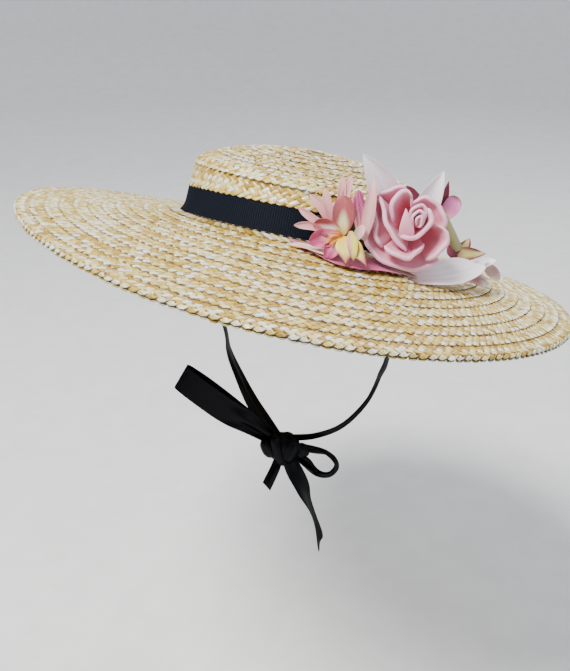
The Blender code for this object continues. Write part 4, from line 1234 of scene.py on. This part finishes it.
class CutLeaves(bpy.types.Operator):
    """Cut the pale leaves and the long leaf on the brim"""

    bl_idname = "sun_hat.cut_leaves"
    bl_label = "Cut Leaves"

    def execute(self, context):
        flowers = settings_of(context, "flowers")
        petal = flowers.petal / MM
        finish = petal_finish("pale_pink_cloth", 0.5, vein=0.84)
        u, v = petal_share(**LEAF_GRID)
        rib = 1.0 - 0.08 * np.exp(-((u / 0.08) ** 2))
        # Painted shade: each leaf runs from a darker pink at its foot to blush at its end, and is a little darker to
        # one side
        tint = blend((0.74, 0.48, 0.50), flowers.blush, v * 2.6 - 0.1 * u) * rib[..., None]
        for row in records(LEAF_COLUMNS, LEAVES):
            node = row.pop("node")
            parts = Parts()
            parts.add_petal(petal_grid(**LEAF_GRID, **row), petal, tint)
            if node == "leaf_small":
                self.bud(parts, petal)
            parts.piece(node + "_cloth", finish, node, "pale_pink_cloth")
        u, v = petal_share(**LONG_LEAF_GRID)
        tint = blend(blend(flowers.dusty, flowers.magenta, (v - 0.2) * 4), (0.62, 0.42, 0.28), (v - 0.85) * 7)
        # Painted shadow: one side of the long leaf is darker, where the lily and the rose shade it
        tint = tint * (0.45 + 0.55 * np.clip(u * 1.4 + 0.5, 0.0, 1.0))[..., None]
        parts = Parts()
        parts.add_petal(long_leaf_grid(**LONG_LEAF_GRID), petal, tint)
        parts.piece("leaf_magenta_cloth", bpy.data.materials["dusty_petals"], "leaf_magenta", "dusty_pink_cloth")
        give_finish("spray_backing", felt_finish())
        return {"FINISHED"}

    def bud(self, parts, petal):
        """The petal that hangs behind the small leaf, and the bud beside it."""
        hanging = petal_grid(*HANGING_PETAL, FRONT, 8.0, arch=1.5, cup=1.5, neck=0.5, point=0, ruffle=0.6)
        # The hanging petal's dull grey-pink is painted shade, for it hangs in the shadow of the small leaf
        parts.add_petal(hanging, petal, (0.58, 0.42, 0.43))
        tint = blend((0.62, 0.31, 0.33), (0.94, 0.90, 0.90), petal_share()[1] * 4.0 - 2.6)
        for tip in BUD_TIPS:
            spike = petal_grid(BUD_FOOT, tip, BUD_FACE, 5.4, arch=1.2, cup=1.6, neck=0.6, point=3.0)
            parts.add_petal(spike, petal, tint)


# The stage, in metres. Lights: the setting that holds their power, place, size and colour
LIGHTS = (
    ("key", (-0.8, -0.7, 1.8), 0.8, (1.0, 0.97, 0.92)),
    ("fill", (1.5, -0.9, 0.9), 1.6, (0.93, 0.96, 1.0)),
    ("rim", (0.7, 1.4, 1.3), 1.4, (1.0, 0.98, 0.95)),
)
LIGHTS_AIM = (0.0, 0.0, -0.05)
SKY_COLOUR, SKY_STRENGTH = (0.80, 0.84, 0.92, 1.0), 0.5
CAMERA_PLACE, LENS, SENSOR = (-0.0114, -0.6134, 0.2000), 45.6, 36.0
FLOOR_RADII = (0.0001, 0.5, 1.0, 2.0, 2.8, 3.4, 3.8, 4.0, 4.05, 4.05)
FLOOR_RISES = (0.0, 0.0, 0.0, 0.0, 0.06, 0.26, 0.65, 1.2, 1.9, 3.2)
FLOOR_SIDES = 96


class SetStage(bpy.types.Operator):
    """Lay the pale floor and set the lights and the camera"""

    bl_idname = "sun_hat.set_stage"
    bl_label = "Set Stage"

    def execute(self, context):
        stage = settings_of(context, "stage")
        self.floor(stage)
        for name, place, size, colour in LIGHTS:
            self.light(name + "_light", place, size, getattr(stage, name), colour)
        world = bpy.data.worlds.new("pale_studio")
        world.use_nodes = True
        sky = world.node_tree.nodes["Background"]
        sky.inputs["Color"].default_value = SKY_COLOUR
        sky.inputs["Strength"].default_value = SKY_STRENGTH
        context.scene.world = world
        lens = bpy.data.cameras.new("photo_camera")
        lens.lens = LENS
        lens.sensor_width = SENSOR
        camera = bpy.data.objects.new("photo_camera", lens)
        camera.location = CAMERA_PLACE
        camera.rotation_euler = (math.radians(90.0 - CAMERA_TILT), 0.0, 0.0)
        context.scene.collection.objects.link(camera)
        context.scene.camera = camera
        return {"FINISHED"}

    def floor(self, stage):
        """A wide floor whose rim curves up all round."""
        radii = np.array(FLOOR_RADII)[:, None]
        heights = np.array(FLOOR_RISES)[:, None] - stage.drop
        turns = np.linspace(0.0, 2 * math.pi, FLOOR_SIDES, endpoint=False)[None]
        grid = np.stack(np.broadcast_arrays(radii * np.cos(turns), radii * np.sin(turns), heights), -1)
        faces = grid_faces(len(radii), FLOOR_SIDES, wrap=True)
        floor = make_piece("pale_floor", grid.reshape(-1, 3), [faces], floor_finish(stage.floor))
        floor.parent = None

    def light(self, name, place, size, power, colour):
        lamp = bpy.data.lights.new(name, "AREA")
        lamp.shape = "DISK"
        lamp.size = size
        lamp.energy = power
        lamp.color = colour
        holder = bpy.data.objects.new(name, lamp)
        holder.location = place
        aim = Vector(LIGHTS_AIM) - Vector(place)
        holder.rotation_euler = aim.to_track_quat("-Z", "Y").to_euler()
        bpy.context.scene.collection.objects.link(holder)


class SunHatPanel(bpy.types.Panel):
    """Lists the hat's sizes, colours and steps"""

    bl_label = "Sun Hat"
    bl_idname = "VIEW3D_PT_sun_hat"
    bl_space_type = "VIEW_3D"
    bl_region_type = "UI"
    bl_category = "Sun Hat"

    def draw(self, context):
        for group, operators in PANEL_ROWS:
            box = self.layout.box()
            settings = settings_of(context, group)
            for name in settings.bl_rna.properties.keys():
                if name not in ("rna_type", "name"):
                    box.prop(settings, name)
            for operator in operators:
                box.operator(operator.bl_idname)


PANEL_ROWS = (
    ("straw", (PlaitCrown, PlaitBrim)),
    ("ribbon", (WrapBand, CutTies)),
    ("flowers", (MakeRose, MakeSmallFlowers, CutLeaves)),
    ("stage", (SetStage,)),
)
GROUPS = {"straw": StrawSettings, "ribbon": RibbonSettings, "flowers": FlowerSettings, "stage": StageSettings}


def register():
    for name, group in GROUPS.items():
        bpy.utils.register_class(group)
        setattr(bpy.types.Scene, "sun_hat_" + name, PointerProperty(type=group))
    for _, operators in PANEL_ROWS:
        for operator in operators:
            bpy.utils.register_class(operator)
    bpy.utils.register_class(SunHatPanel)


def unregister():
    bpy.utils.unregister_class(SunHatPanel)
    for _, operators in reversed(PANEL_ROWS):
        for operator in operators:
            bpy.utils.unregister_class(operator)
    for name, group in GROUPS.items():
        delattr(bpy.types.Scene, "sun_hat_" + name)
        bpy.utils.unregister_class(group)


def main():
    register()
    for _, operators in PANEL_ROWS:
        for operator in operators:
            getattr(bpy.ops.sun_hat, operator.bl_idname.split(".")[1])()


if __name__ == "__main__":
    main()
